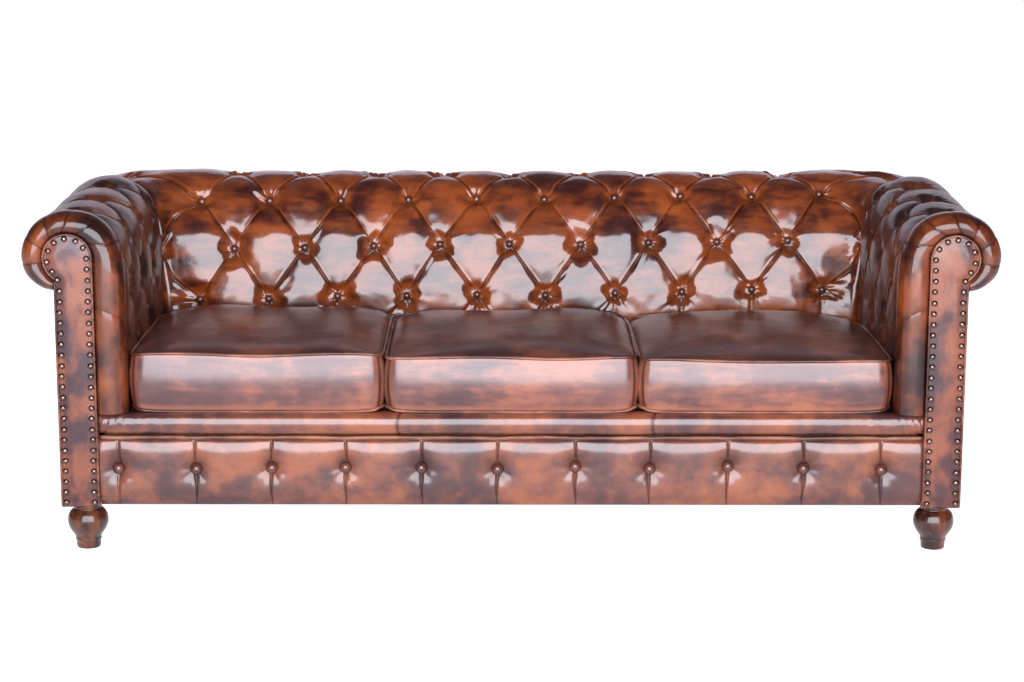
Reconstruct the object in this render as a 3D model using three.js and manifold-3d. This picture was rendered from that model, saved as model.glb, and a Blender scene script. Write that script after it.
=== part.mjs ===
// A three-seat buttoned sofa with rolled arms and a rolled back, built in millimetres.
// +X runs along the seat, the sofa faces -Y, +Z is up and the feet stand on Z = 0.
// Hardwood frame, zigzag springs, stuffed pads, leather panels and loose seat cushions.

import * as THREE from "three";
import { mergeVertices } from "three/addons/utils/BufferGeometryUtils.js";
import Module from "manifold-3d";

const wasm = await Module();
wasm.setup();

// ---- Driving dimensions -------------------------------------------------------------------
const WIDTH = 2100;
const DEPTH = 920;
const HEIGHT = 745;
const FOOT_HEIGHT = 97;
const SEAT_HEIGHT = 425; // the front seam of the seat cushions
const CUSHION_CROWN = 22; // how far a cushion's middle rises above its seams
const CUSHION_FRONT = -431;
const CASE_WALL = 3;
const WADDING = 6; // soft wrap between a cushion's case and its foam
const CUSHIONS = 3;
const GAP = 0.3; // room left between pieces that touch

// The arm's section, in X and Z.
const ARM_INNER = 829; // inside face of the arm pad
const ARM_SCROLL_X = 947; // middle of the arm's roll
const ARM_SCROLL_Z = 645;
const ARM_OUTSIDE = 976; // flat outside of the arm
const CURL_Z = 572; // where the roll tucks in under its curl
const ARM_PAD = 48;

// The back's section, in Y and Z.
const BACK_SEAT_Y = 132; // front face of the back pad at the seat
const BACK_SCROLL_Y = 352;
const BACK_SCROLL_Z = 640;
const BACK_OUTSIDE = 380;
const POST_FOOT_Y = 250; // front edge of the back posts on the rear rail
const POST_HEAD_Y = 302;

// The scroll facing on each arm front, in X and Z.
const FACING_INNER = 894;
const FACING_RADIUS = 53;
const FACING_FRONT = -455;
const FACING_THICK = 17;

// Seat, apron and frame.
const DECK_Z = 255; // underside of the pads, just above the rails
const DECK_TOP = 305;
const APRON_FRONT = -440;
const APRON_THICK = 14;
const APRON_BOTTOM = 98;
const APRON_TOP = 247;
const PIPING_RADIUS = 4;
const BORDER_ROLL_DEPTH = 52;
const RAIL_THICK = 28;
const RAIL_BOTTOM = 110;
const RAIL_TOP = 240;
const BLOCK_TOP = 150;
const FOOT_X = 927;
const FRONT_FOOT_Y = -416;
const REAR_FOOT_Y = 340;
const BOLT_RADIUS = 5;
const PANEL = 4; // leather over its lining, on the flat outside panels

const halfWidth = WIDTH / 2;
const halfDepth = DEPTH / 2;
const facingBack = FACING_FRONT + FACING_THICK;
const postFrontFace = facingBack + GAP;
const postBack = postFrontFace + RAIL_THICK; // the stuffed border ends level with the post
const frontRailFront = APRON_FRONT + APRON_THICK + GAP;
const frontRailBack = frontRailFront + RAIL_THICK;
const rearRailFront = 345; // behind it the outside back is tacked
const rearRailBack = rearRailFront + RAIL_THICK;
const sideRailInner = 935;
const blockInner = FACING_INNER + 1;
const blockOuter = 962;

// ---- Materials ----------------------------------------------------------------------------
const FINISHES = {
  leather: { color: 0x5c2412, roughness: 0.38, metalness: 0 },
  facingLeather: { color: 0x8a4a36, roughness: 0.4, metalness: 0 },
  feetWood: { color: 0x2a120a, roughness: 0.25, metalness: 0 },
  frameWood: { color: 0xb98a55, roughness: 0.7, metalness: 0 },
  steel: { color: 0x8c8f94, roughness: 0.4, metalness: 0.9 },
  webbing: { color: 0x9a7b4f, roughness: 0.95, metalness: 0 },
  hessian: { color: 0xa98c5e, roughness: 0.95, metalness: 0 },
  foam: { color: 0xd8c68e, roughness: 0.95, metalness: 0 },
  lining: { color: 0x16161a, roughness: 0.95, metalness: 0 },
};

// ---- Shape helpers ------------------------------------------------------------------------
// Turns a closed three.js geometry into a solid that can be cut and joined.
function solid(geometry) {
  const bare = geometry.clone();
  bare.deleteAttribute("normal");
  bare.deleteAttribute("uv");
  const merged = mergeVertices(bare, 1e-3);
  return new wasm.Manifold(
    new wasm.Mesh({
      numProp: 3,
      vertProperties: new Float32Array(merged.attributes.position.array),
      triVerts: new Uint32Array(merged.index.array),
    }),
  );
}

// Turns a solid back into a three.js geometry.
function geometryOf(body) {
  const mesh = body.getMesh();
  const geometry = new THREE.BufferGeometry();
  geometry.setAttribute("position", new THREE.BufferAttribute(mesh.vertProperties, 3));
  geometry.setIndex(new THREE.BufferAttribute(mesh.triVerts, 1));
  geometry.computeVertexNormals();
  return geometry;
}

function cut(geometry, ...tools) {
  return geometryOf(tools.reduce((body, tool) => body.subtract(solid(tool)), solid(geometry)));
}

function common(geometry, tool) {
  return geometryOf(solid(geometry).intersect(solid(tool)));
}

// A box between two corners, grown on every side by an allowance.
function box(low, high, grow = 0) {
  const size = low.map((value, axis) => high[axis] - value + 2 * grow);
  const middle = low.map((value, axis) => (high[axis] + value) / 2);
  return new THREE.BoxGeometry(...size).translate(...middle);
}

// An outline in Y and Z, drawn out along X.
function alongX(shape, from, to, curveSegments = 12) {
  const geometry = new THREE.ExtrudeGeometry(shape, {
    depth: to - from,
    bevelEnabled: false,
    curveSegments,
  });
  const axes = [new THREE.Vector3(0, 1, 0), new THREE.Vector3(0, 0, 1), new THREE.Vector3(1, 0, 0)];
  return geometry.applyMatrix4(new THREE.Matrix4().makeBasis(...axes)).translate(from, 0, 0);
}

// An outline in X and Z, drawn out along Y.
function alongY(shape, from, to, curveSegments = 12) {
  const geometry = new THREE.ExtrudeGeometry(shape, {
    depth: to - from,
    bevelEnabled: false,
    curveSegments,
  });
  return geometry.rotateX(Math.PI / 2).translate(0, to, 0);
}

// The same piece for the other end of the sofa, with its faces still pointing out.
function mirrored(geometry) {
  const copy = mergeVertices(geometry.clone().deleteAttribute("uv"));
  copy.scale(-1, 1, 1);
  const index = copy.index.array;
  for (let i = 0; i < index.length; i += 3) {
    [index[i], index[i + 1]] = [index[i + 1], index[i]];
  }
  copy.computeVertexNormals();
  return copy;
}

function outline(points) {
  return new THREE.Shape(points.map(([across, up]) => new THREE.Vector2(across, up)));
}

const degrees = THREE.MathUtils.degToRad;

// ---- The sofa -----------------------------------------------------------------------------
const sofa = new THREE.Group();

function add(name, finish, geometry) {
  const piece = new THREE.Mesh(geometry, new THREE.MeshStandardMaterial(FINISHES[finish]));
  piece.name = name;
  sofa.add(piece);
}

function addPair(name, finish, geometry) {
  add(`right_${name}`, finish, geometry);
  add(`left_${name}`, finish, mirrored(geometry));
}

// ---- Sections shared by pads and borders --------------------------------------------------
// Follows the outside of the arm from a height, over the roll and under its curl.
function armOutside(shape, from) {
  shape.moveTo(ARM_INNER, from);
  shape.lineTo(ARM_INNER, 600);
  shape.bezierCurveTo(ARM_INNER, 690, 868, HEIGHT, ARM_SCROLL_X, HEIGHT);
  const across = halfWidth - ARM_SCROLL_X;
  shape.absellipse(
    ARM_SCROLL_X, ARM_SCROLL_Z, across, HEIGHT - ARM_SCROLL_Z, Math.PI / 2, 0, true,
  );
  shape.absellipse(
    ARM_OUTSIDE, ARM_SCROLL_Z, halfWidth - ARM_OUTSIDE, ARM_SCROLL_Z - CURL_Z, 0, -Math.PI / 2, true,
  );
}

// The flat scroll on the arm front, drawn smaller all round by an inset.
function facingOutline(inset) {
  const shape = new THREE.Shape();
  const radius = FACING_RADIUS - inset;
  shape.moveTo(FACING_INNER + inset, APRON_BOTTOM + inset);
  shape.lineTo(FACING_INNER + inset, ARM_SCROLL_Z);
  shape.absarc(ARM_SCROLL_X, ARM_SCROLL_Z, radius, Math.PI, degrees(-58), true);
  shape.lineTo(ARM_OUTSIDE - inset, CURL_Z + 8);
  shape.lineTo(ARM_OUTSIDE - inset, APRON_BOTTOM + inset);
  shape.closePath();
  return shape;
}

// Front edge of the back posts at a height: the back leans.
function postFront(z) {
  return POST_FOOT_Y + ((z - RAIL_TOP) * (POST_HEAD_Y - POST_FOOT_Y)) / (CURL_Z + 18 - RAIL_TOP);
}

// ---- Seat frame ---------------------------------------------------------------------------
const longRailHalf = 889;
add(
  "front_seat_rail",
  "frameWood",
  box([-longRailHalf, frontRailFront, RAIL_BOTTOM], [longRailHalf, frontRailBack, APRON_TOP + 1]),
);
add(
  "rear_seat_rail",
  "frameWood",
  box([-longRailHalf, rearRailFront, RAIL_BOTTOM], [longRailHalf, rearRailBack, RAIL_TOP]),
);

const blockDepth = 62;
const frontBlockBack = postFrontFace + blockDepth;
const rearBlockFront = rearRailBack - blockDepth - 8;
addPair(
  "seat_rail",
  "frameWood",
  box(
    [sideRailInner, frontBlockBack + GAP, RAIL_BOTTOM],
    [blockOuter, rearBlockFront - GAP, RAIL_TOP],
  ),
);

const crossRailX = 280;
const crossRailHalf = 20;
addPair(
  "cross_rail",
  "frameWood",
  box(
    [crossRailX - crossRailHalf, frontRailBack + GAP, RAIL_BOTTOM],
    [crossRailX + crossRailHalf, rearRailFront - GAP, BLOCK_TOP],
  ),
);

// ---- Feet, their bolts and the corner blocks they screw into ------------------------------
const boltTop = 140;
const boltSocket = 38; // height of the socket's bottom above the floor
const boreRadius = BOLT_RADIUS + GAP;

function turnedFoot() {
  const profile = [
    [0, boltSocket],
    [boreRadius, boltSocket],
    [boreRadius, FOOT_HEIGHT],
    [30, FOOT_HEIGHT],
    [31, FOOT_HEIGHT - 5],
    [28, FOOT_HEIGHT - 9],
    [33, FOOT_HEIGHT - 13],
  ];
  const ball = { middle: 62, half: 22, radius: 44 };
  for (const angle of [65, 45, 22, 0, -22, -45, -65]) {
    profile.push([
      ball.radius - 15 * (1 - Math.cos(degrees(angle))) ** 0.8,
      ball.middle + ball.half * Math.sin(degrees(angle)),
    ]);
  }
  profile.push([27, 36], [25, 28], [26, 20], [29, 14], [27, 6], [23, 0], [0, 0]);
  const points = profile.reverse().map(([radius, z]) => new THREE.Vector2(radius, z));
  return new THREE.LatheGeometry(points, 24).rotateX(Math.PI / 2);
}

function footBolt() {
  const profile = [
    [0, boltSocket + GAP],
    [BOLT_RADIUS, boltSocket + GAP],
    [BOLT_RADIUS, boltTop],
    [0, boltTop],
  ];
  const points = profile.map(([radius, z]) => new THREE.Vector2(radius, z));
  return new THREE.LatheGeometry(points, 12).rotateX(Math.PI / 2);
}

function boltBore(x, y) {
  const length = boltTop + 1 - FOOT_HEIGHT + 10;
  const bore = new THREE.CylinderGeometry(boreRadius, boreRadius, length, 12);
  return bore.rotateX(Math.PI / 2).translate(x, y, boltTop + 1 - length / 2);
}

for (const [end, footY, blockFront, blockBack] of [
  ["front", FRONT_FOOT_Y, postFrontFace, frontBlockBack],
  ["rear", REAR_FOOT_Y, rearBlockFront, rearRailBack],
]) {
  addPair(`${end}_foot`, "feetWood", turnedFoot().translate(FOOT_X, footY, 0));
  addPair(`${end}_foot_bolt`, "steel", footBolt().translate(FOOT_X, footY, 0));
  addPair(
    `${end}_corner_block`,
    "frameWood",
    cut(
      box([blockInner, blockFront, FOOT_HEIGHT + GAP], [blockOuter, blockBack, BLOCK_TOP]),
      boltBore(FOOT_X, footY),
    ),
  );
}

// ---- Arm frames ---------------------------------------------------------------------------
const postInset = 4;
const aboveBlock = box([800, -DEPTH, BLOCK_TOP + GAP], [halfWidth, 0, HEIGHT]);
addPair(
  "front_post",
  "frameWood",
  common(alongY(facingOutline(postInset), postFrontFace, postBack), aboveBlock),
);

const armRailRadius = 47;
const backRailRadius = 50;
const railBeforeBack = BACK_SCROLL_Y - backRailRadius - GAP;
const armRail = new THREE.Shape().absarc(
  ARM_SCROLL_X, ARM_SCROLL_Z, armRailRadius, 0, 2 * Math.PI, false,
);
addPair("arm_rail", "frameWood", alongY(armRail, postBack + GAP, railBeforeBack, 10));

const slatBottom = DECK_Z + 7;
const slatTop = 320;
const slatEnd = POST_FOOT_Y - 1;
const slatFace = ARM_INNER + ARM_PAD + 6;
const slatThick = 32;
const webFace = slatFace - 4;
const webTop = 608;
addPair(
  "arm_slat",
  "frameWood",
  box([slatFace, postBack + GAP, slatBottom], [slatFace + slatThick, slatEnd, slatTop]),
);
addPair(
  "arm_webbing",
  "webbing",
  box([webFace, postBack + GAP, slatBottom], [slatFace - GAP, slatEnd, webTop]),
);

// ---- Back frame ---------------------------------------------------------------------------
const postHead = CURL_Z + 17;
function backPost(from, to, foot) {
  const rear = rearRailBack;
  return alongX(
    outline([
      [postFront(RAIL_TOP), foot],
      [rear, foot],
      [rear, postHead],
      [postFront(postHead), postHead],
      [postFront(RAIL_TOP), RAIL_TOP + 1],
    ]),
    from,
    to,
  );
}

const rearPostInner = 905;
const rearPostOuter = 960;
const tackRailHalf = rearPostInner - 1;
const tackRail = { low: [-tackRailHalf, 264, slatBottom], high: [tackRailHalf, 290, slatTop] };
add("back_tack_rail", "frameWood", box(tackRail.low, tackRail.high));
const backPostX = 300;
const backPostHalf = 25;
const tackNotch = box(tackRail.low, tackRail.high, GAP);
addPair(
  "back_post",
  "frameWood",
  cut(backPost(backPostX - backPostHalf, backPostX + backPostHalf, RAIL_TOP + GAP), tackNotch),
);
const rearPost = backPost(rearPostInner, rearPostOuter, BLOCK_TOP + GAP);
const postSide = rearPostInner - 25;
const behindSideRail = box([postSide, rearBlockFront, 0], [halfWidth, halfDepth, HEIGHT]);
const aboveSideRail = box([postSide, 0, RAIL_TOP + GAP], [halfWidth, halfDepth, HEIGHT]);
addPair(
  "rear_post",
  "frameWood",
  geometryOf(solid(rearPost).intersect(solid(behindSideRail).add(solid(aboveSideRail)))),
);

const backRail = new THREE.Shape().absarc(
  BACK_SCROLL_Y, BACK_SCROLL_Z, backRailRadius, 0, 2 * Math.PI, false,
);
const backRailEnd = 990;
add("back_top_rail", "frameWood", alongX(backRail, -backRailEnd, backRailEnd, 10));

const webThick = 3;
add(
  "back_webbing",
  "webbing",
  alongX(
    outline([
      [postFront(DECK_Z) - webThick - GAP, DECK_Z],
      [postFront(DECK_Z) - GAP, DECK_Z],
      [postFront(postHead) - GAP, postHead],
      [postFront(postHead) - webThick - GAP, postHead],
    ]),
    -ARM_INNER,
    ARM_INNER,
  ),
);

// ---- Zigzag seat springs ------------------------------------------------------------------
// Each seat has four zigzag wires from rail to rail, clipped to two straight tie wires.
const SPRINGS_PER_SEAT = 4;
const WIRE = 4;
const springZ = RAIL_TOP - 5;
const springPitch = 61;
const springSwing = 20;
const tieWires = [-190, 130]; // where the two straight wires cross the springs
const tieHalf = 1.5;
const cushionPitch = (2 * ARM_INNER - 4) / CUSHIONS;

function zigzagSpring(x) {
  const start = frontRailBack + WIRE;
  const end = rearRailFront - WIRE;
  const halfTurns = 2 * Math.round((end - start) / springPitch);
  const points = [new THREE.Vector3(x, start, springZ)];
  for (let turn = 0; turn < halfTurns; turn += 1) {
    const along = start + ((turn + 0.5) / halfTurns) * (end - start);
    points.push(new THREE.Vector3(x + springSwing * (turn % 2 ? 1 : -1), along, springZ));
  }
  points.push(new THREE.Vector3(x, end, springZ));
  const half = WIRE / 2;
  const section = outline([[-half, -half], [half, -half], [half, half], [-half, half]]);
  return new THREE.ExtrudeGeometry(section, {
    extrudePath: new THREE.CatmullRomCurve3(points),
    steps: 48,
    bevelEnabled: false,
  });
}

for (let seat = 0; seat < CUSHIONS; seat += 1) {
  const middle = (seat - (CUSHIONS - 1) / 2) * cushionPitch;
  const spread = (cushionPitch - 120) / (SPRINGS_PER_SEAT - 1);
  const reach = cushionPitch / 2 - 20;
  const wires = tieWires.map((y) =>
    solid(box([middle - reach, y, springZ], [middle + reach, y, springZ], tieHalf)),
  );
  for (let k = 0; k < SPRINGS_PER_SEAT; k += 1) {
    wires.push(solid(zigzagSpring(middle + (k - (SPRINGS_PER_SEAT - 1) / 2) * spread)));
  }
  const unit = wires.reduce((whole, wire) => whole.add(wire));
  add(`seat_springs_${seat + 1}`, "steel", geometryOf(unit));
}

// ---- Seat deck, its hessian and the dust cover underneath ---------------------------------
const deckSide = ARM_INNER - GAP;
const deckFront = APRON_FRONT + BORDER_ROLL_DEPTH + GAP;
add(
  "seat_hessian",
  "hessian",
  box([-deckSide, deckFront, APRON_TOP + 1 + GAP], [deckSide, POST_FOOT_Y - 8, DECK_Z - 4]),
);
add(
  "seat_deck",
  "hessian",
  box([-deckSide, deckFront, DECK_Z - 3.5], [deckSide, BACK_SEAT_Y - GAP, DECK_TOP]),
);
const coverSide = ARM_OUTSIDE - PANEL - GAP;
const coverLow = [-coverSide, frontRailFront, RAIL_BOTTOM - 3];
const coverHigh = [coverSide, rearRailBack, RAIL_BOTTOM - GAP];
const cornerNotches = [];
for (const [from, to] of [
  [-halfDepth, frontBlockBack + GAP],
  [rearBlockFront - GAP, halfDepth],
]) {
  cornerNotches.push(box([-halfWidth, from, 0], [-blockInner + GAP, to, BLOCK_TOP]));
  cornerNotches.push(box([blockInner - GAP, from, 0], [halfWidth, to, BLOCK_TOP]));
}
add("dust_cover", "lining", cut(box(coverLow, coverHigh), ...cornerNotches));

// ---- Seat cushions: a leather case with a zip slot at the back, over a foam core ----------
const cushionBack = BACK_SEAT_Y - 4;
const cushionBottom = DECK_TOP + GAP;

const cushionHalf = cushionPitch / 2 - 1;
const crownReach = 150; // how far in from a seam the crown has nearly its full height
const crownPull = CUSHION_CROWN * 1.3;

// Outline of a box whose short sides bulge by an edge and whose top is crowned.
function crownedOutline(left, right, low, seam, edge, round) {
  const shape = new THREE.Shape();
  shape.moveTo(left + edge, low);
  shape.lineTo(right - edge, low);
  shape.lineTo(right, low + round);
  shape.lineTo(right, seam - round);
  shape.lineTo(right - edge, seam);
  shape.bezierCurveTo(
    right - crownReach, seam + crownPull, left + crownReach, seam + crownPull, left + edge, seam,
  );
  shape.lineTo(left, seam - round);
  shape.lineTo(left, low + round);
  shape.closePath();
  return shape;
}

function roundedPlan(middle, half, front, back, radius) {
  const shape = new THREE.Shape();
  for (const [x, y, start] of [
    [middle + half - radius, back - radius, 0],
    [middle - half + radius, back - radius, 90],
    [middle - half + radius, front + radius, 180],
    [middle + half - radius, front + radius, 270],
  ]) {
    shape.absarc(x, y, radius, degrees(start), degrees(start + 90), false);
  }
  return new THREE.ExtrudeGeometry(shape, { depth: HEIGHT, bevelEnabled: false, curveSegments: 5 });
}

// A crowned block with rounded upright corners, drawn smaller all round by an inset. Its top
// falls towards its two ends by a drop.
function cushionBlock(middle, inset, cornerRadius, drop) {
  const low = cushionBottom + inset;
  const seam = SEAT_HEIGHT - inset;
  const [front, back] = [CUSHION_FRONT + inset, cushionBack - inset];
  const half = cushionHalf - inset;
  const [edge, round] = [6, 26];
  const sideView = crownedOutline(front, back, low, seam, edge, round);
  const frontView = crownedOutline(middle - half, middle + half, low - 1, seam - drop, 0, round);
  const body = solid(alongX(sideView, middle - half, middle + half, 14))
    .intersect(solid(alongY(frontView, front - 1, back + 1, 14)))
    .intersect(solid(roundedPlan(middle, half, front, back, cornerRadius)));
  return geometryOf(body);
}

const zip = { half: 210, low: 358, high: 372 };
for (let seat = 0; seat < CUSHIONS; seat += 1) {
  const middle = (seat - (CUSHIONS - 1) / 2) * cushionPitch;
  const zipSlot = box(
    [middle - zip.half, cushionBack - 12, zip.low],
    [middle + zip.half, cushionBack + 5, zip.high],
  );
  const hollow = cushionBlock(middle, CASE_WALL, 24, 0);
  add(`cushion_case_${seat + 1}`, "leather", cut(cushionBlock(middle, 0, 27, 0), hollow, zipSlot));
  add(`cushion_core_${seat + 1}`, "foam", cushionBlock(middle, CASE_WALL + WADDING, 45, 16));
}

// ---- Front: apron, piping and the stuffed border roll under the cushions ------------------
const apronEnd = FACING_INNER - GAP;
add(
  "front_apron",
  "leather",
  box(
    [-apronEnd, APRON_FRONT, APRON_BOTTOM],
    [apronEnd, APRON_FRONT + APRON_THICK, APRON_TOP - GAP],
  ),
);
const bead = new THREE.Shape().absarc(
  APRON_FRONT + 2, APRON_TOP + PIPING_RADIUS, PIPING_RADIUS, 0, 2 * Math.PI, false,
);
add("front_piping", "leather", alongX(bead, -apronEnd, apronEnd, 3));

const rollLow = APRON_TOP + 2 * PIPING_RADIUS + GAP;
const rollHigh = DECK_TOP;
const rollShape = new THREE.Shape();
const rollMiddle = (rollLow + rollHigh) / 2;
const rollCentreY = APRON_FRONT + 12;
const rollBulge = 16;
rollShape.moveTo(rollCentreY, rollLow);
rollShape.lineTo(APRON_FRONT + BORDER_ROLL_DEPTH, rollLow);
rollShape.lineTo(APRON_FRONT + BORDER_ROLL_DEPTH, rollHigh);
rollShape.lineTo(rollCentreY, rollHigh);
rollShape.absellipse(
  rollCentreY, rollMiddle, rollBulge, (rollHigh - rollLow) / 2,
  Math.PI / 2, 1.5 * Math.PI, false,
);
// It runs on under the arm borders up to the facings, where it is only as deep as they are.
const roomForArm = box([ARM_INNER - GAP, postBack, 0], [halfWidth, 0, HEIGHT]);
add(
  "front_border_roll",
  "leather",
  cut(alongX(rollShape, -apronEnd, apronEnd, 8), roomForArm, mirrored(roomForArm)),
);

// ---- Stuffed pads -------------------------------------------------------------------------
// The arm and back rolls meet in a mitre that starts behind the inside corner.
const mitreY = POST_FOOT_Y;
const behind = halfDepth + 80;
const beyond = halfWidth + 40;
const mitreSlope = (halfDepth - mitreY) / (halfWidth - ARM_INNER);
const mitreAt = (x) => mitreY + mitreSlope * (x - ARM_INNER);

function planPrism(points) {
  return new THREE.ExtrudeGeometry(outline(points), { depth: HEIGHT + 10, bevelEnabled: false });
}

const armPlan = planPrism([
  [ARM_INNER, -DEPTH],
  [beyond, -DEPTH],
  [beyond, mitreAt(beyond)],
  [ARM_INNER, mitreY],
]);
const backPlan = planPrism([
  [-ARM_INNER + GAP, 0],
  [ARM_INNER - GAP, 0],
  [ARM_INNER - GAP, mitreY + GAP],
  [beyond, mitreAt(beyond) + 2 * GAP],
  [beyond, behind],
  [-beyond, behind],
  [-beyond, mitreAt(beyond) + 2 * GAP],
  [-ARM_INNER + GAP, mitreY + GAP],
]);

const backHollow = backRailRadius + 2;
const grownBackRail = new THREE.Shape().absarc(
  BACK_SCROLL_Y, BACK_SCROLL_Z, backHollow, 0, 2 * Math.PI, false,
);
const railTool = alongX(grownBackRail, -backRailEnd - 1, backRailEnd + 1, 10);
const tackRailTool = box(tackRail.low, tackRail.high, GAP);

const armPad = new THREE.Shape();
armOutside(armPad, DECK_Z);
const padHollow = armRailRadius + 4;
armPad.absarc(ARM_SCROLL_X, ARM_SCROLL_Z, padHollow, degrees(-80), Math.PI, false);
armPad.lineTo(ARM_INNER + ARM_PAD, 612);
armPad.lineTo(ARM_INNER + ARM_PAD, DECK_Z);
armPad.closePath();
addPair(
  "inside_arm",
  "leather",
  cut(common(alongY(armPad, postBack + GAP, halfDepth), armPlan), railTool, tackRailTool),
);

const backPad = new THREE.Shape();
backPad.moveTo(BACK_SEAT_Y, DECK_Z);
backPad.lineTo(BACK_SEAT_Y + 3, 440);
backPad.bezierCurveTo(140, 560, 190, HEIGHT, BACK_SCROLL_Y, HEIGHT);
backPad.absellipse(
  BACK_SCROLL_Y, BACK_SCROLL_Z, halfDepth - BACK_SCROLL_Y, HEIGHT - BACK_SCROLL_Z,
  Math.PI / 2, 0, true,
);
backPad.absellipse(
  BACK_OUTSIDE, BACK_SCROLL_Z, halfDepth - BACK_OUTSIDE, BACK_SCROLL_Z - CURL_Z,
  0, -Math.PI / 2, true,
);
backPad.lineTo(rearRailBack + 1, CURL_Z);
backPad.absarc(BACK_SCROLL_Y, BACK_SCROLL_Z, backHollow, degrees(-65), degrees(200), false);
backPad.lineTo(postFront(postHead) - 4, postHead);
backPad.lineTo(postFront(DECK_Z) - 4, DECK_Z);
backPad.closePath();
add("inside_back", "leather", common(alongX(backPad, -halfWidth, halfWidth), backPlan));

// ---- Arm fronts: stuffed border round the scroll, and the flat studded facing -------------
const border = new THREE.Shape();
armOutside(border, DECK_TOP + GAP);
border.lineTo(ARM_OUTSIDE + GAP, CURL_Z + 8);
border.absarc(ARM_SCROLL_X, ARM_SCROLL_Z, FACING_RADIUS + GAP, degrees(-57), Math.PI, false);
border.lineTo(FACING_INNER - GAP, DECK_TOP + GAP);
border.closePath();
addPair("arm_border", "leather", alongY(border, FACING_FRONT + 3, postBack));
addPair("facing_panel", "facingLeather", alongY(facingOutline(0), FACING_FRONT, facingBack));

// ---- Outside panels -----------------------------------------------------------------------
addPair(
  "outside_arm",
  "leather",
  box(
    [ARM_OUTSIDE - PANEL, facingBack + GAP, APRON_BOTTOM],
    [ARM_OUTSIDE, BACK_OUTSIDE - PANEL - GAP, CURL_Z - 0.5],
  ),
);
add(
  "outside_back",
  "leather",
  box([-ARM_OUTSIDE, BACK_OUTSIDE - PANEL, APRON_BOTTOM], [ARM_OUTSIDE, BACK_OUTSIDE, CURL_Z - 0.5]),
);

export default sofa;
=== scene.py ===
import random
from math import atan2, ceil, cos, exp, floor, hypot, pi, radians, sin, sqrt

import bmesh
import bpy
from mathutils import Matrix, Vector, noise


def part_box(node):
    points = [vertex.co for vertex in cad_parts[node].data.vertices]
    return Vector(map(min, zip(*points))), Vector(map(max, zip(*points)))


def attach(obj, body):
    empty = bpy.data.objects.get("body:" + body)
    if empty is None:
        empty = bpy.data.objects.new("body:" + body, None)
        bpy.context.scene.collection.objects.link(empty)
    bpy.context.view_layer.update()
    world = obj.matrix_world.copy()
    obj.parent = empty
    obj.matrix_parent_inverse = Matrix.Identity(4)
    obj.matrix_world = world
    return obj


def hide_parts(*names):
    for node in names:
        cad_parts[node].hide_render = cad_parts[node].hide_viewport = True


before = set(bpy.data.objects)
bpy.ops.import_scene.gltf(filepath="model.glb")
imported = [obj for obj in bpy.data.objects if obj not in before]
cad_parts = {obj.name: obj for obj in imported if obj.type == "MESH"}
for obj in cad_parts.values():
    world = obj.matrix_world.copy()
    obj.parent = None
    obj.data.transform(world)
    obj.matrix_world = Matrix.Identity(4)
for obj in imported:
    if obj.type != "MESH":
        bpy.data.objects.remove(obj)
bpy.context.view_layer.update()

# ---------------------------------------------------------------------------------------------
# The studio: a wide pale floor under pale air, both white to the camera and dimmer to the sofa,
# one very wide soft light in front, weak ones overhead and behind, and a long lens a little
# above the back of the sofa.
def finished(name, shape, weld=0.00001):
    """Welds what lies together, turns every face outwards and makes the smooth object."""
    bmesh.ops.remove_doubles(shape, verts=shape.verts, dist=weld)
    bmesh.ops.recalc_face_normals(shape, faces=shape.faces)
    mesh = bpy.data.meshes.new(name)
    shape.to_mesh(mesh)
    shape.free()
    mesh.shade_smooth()
    piece = bpy.data.objects.new(name, mesh)
    bpy.context.scene.collection.objects.link(piece)
    return piece


FLOOR_HALF = 80.0
FLOOR_GLOW = (0.37, 0.37, 0.39, 1)
FLOOR_SEEN = (0.93, 0.93, 0.93, 1)
AIR_GLOW = (0.10, 0.08, 0.09, 1)
AIR_SEEN = (1, 1, 1, 1)

floor_sheet = bmesh.new()
bmesh.ops.create_grid(floor_sheet, x_segments=4, y_segments=4, size=FLOOR_HALF)
studio_floor = finished("studio_floor", floor_sheet)
floor_paint = bpy.data.materials.new("pale_floor")
floor_paint.use_nodes = True
floor_shader = floor_paint.node_tree.nodes["Principled BSDF"]
floor_shader.inputs["Base Color"].default_value = (0.80, 0.80, 0.81, 1)
floor_shader.inputs["Roughness"].default_value = 0.9
floor_shader.inputs["Specular IOR Level"].default_value = 0.1
floor_shader.inputs["Emission Strength"].default_value = 1
floor_tree = floor_paint.node_tree
seen_floor = floor_tree.nodes.new("ShaderNodeLightPath")
floor_mix = floor_tree.nodes.new("ShaderNodeMix")
floor_mix.data_type = "RGBA"
floor_mix.inputs["A"].default_value = FLOOR_GLOW
floor_mix.inputs["B"].default_value = FLOOR_SEEN
floor_tree.links.new(seen_floor.outputs["Is Camera Ray"], floor_mix.inputs["Factor"])
floor_tree.links.new(floor_mix.outputs["Result"], floor_shader.inputs["Emission Color"])
studio_floor.data.materials.append(floor_paint)


def soft_light(name, size, place, turn, watts, colour):
    lamp = bpy.data.lights.new(name, "AREA")
    lamp.shape = "RECTANGLE"
    lamp.size, lamp.size_y = size
    lamp.energy = watts
    lamp.color = colour
    light = bpy.data.objects.new(name, lamp)
    light.location = place
    light.rotation_euler = turn
    light.visible_camera = False
    bpy.context.scene.collection.objects.link(light)
    return light


soft_light(
    "front_softbox", size=(5.4, 3.86), place=(0, -4.3, 1.97), turn=(pi / 2, 0, 0),
    watts=570, colour=(0.89, 0.92, 1),
)
fill_light = soft_light(
    "overhead_softbox", size=(5.0, 2.2), place=(0, 1.0, 4.2), turn=(0, 0, 0),
    watts=30, colour=(0.95, 0.93, 1),
)
fill_light.visible_glossy = False
soft_light(
    "rear_softbox", size=(7.0, 2.4), place=(0, 3.6, 1.5), turn=(-pi / 2, 0, 0),
    watts=40, colour=(0.92, 0.84, 1),
)

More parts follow.
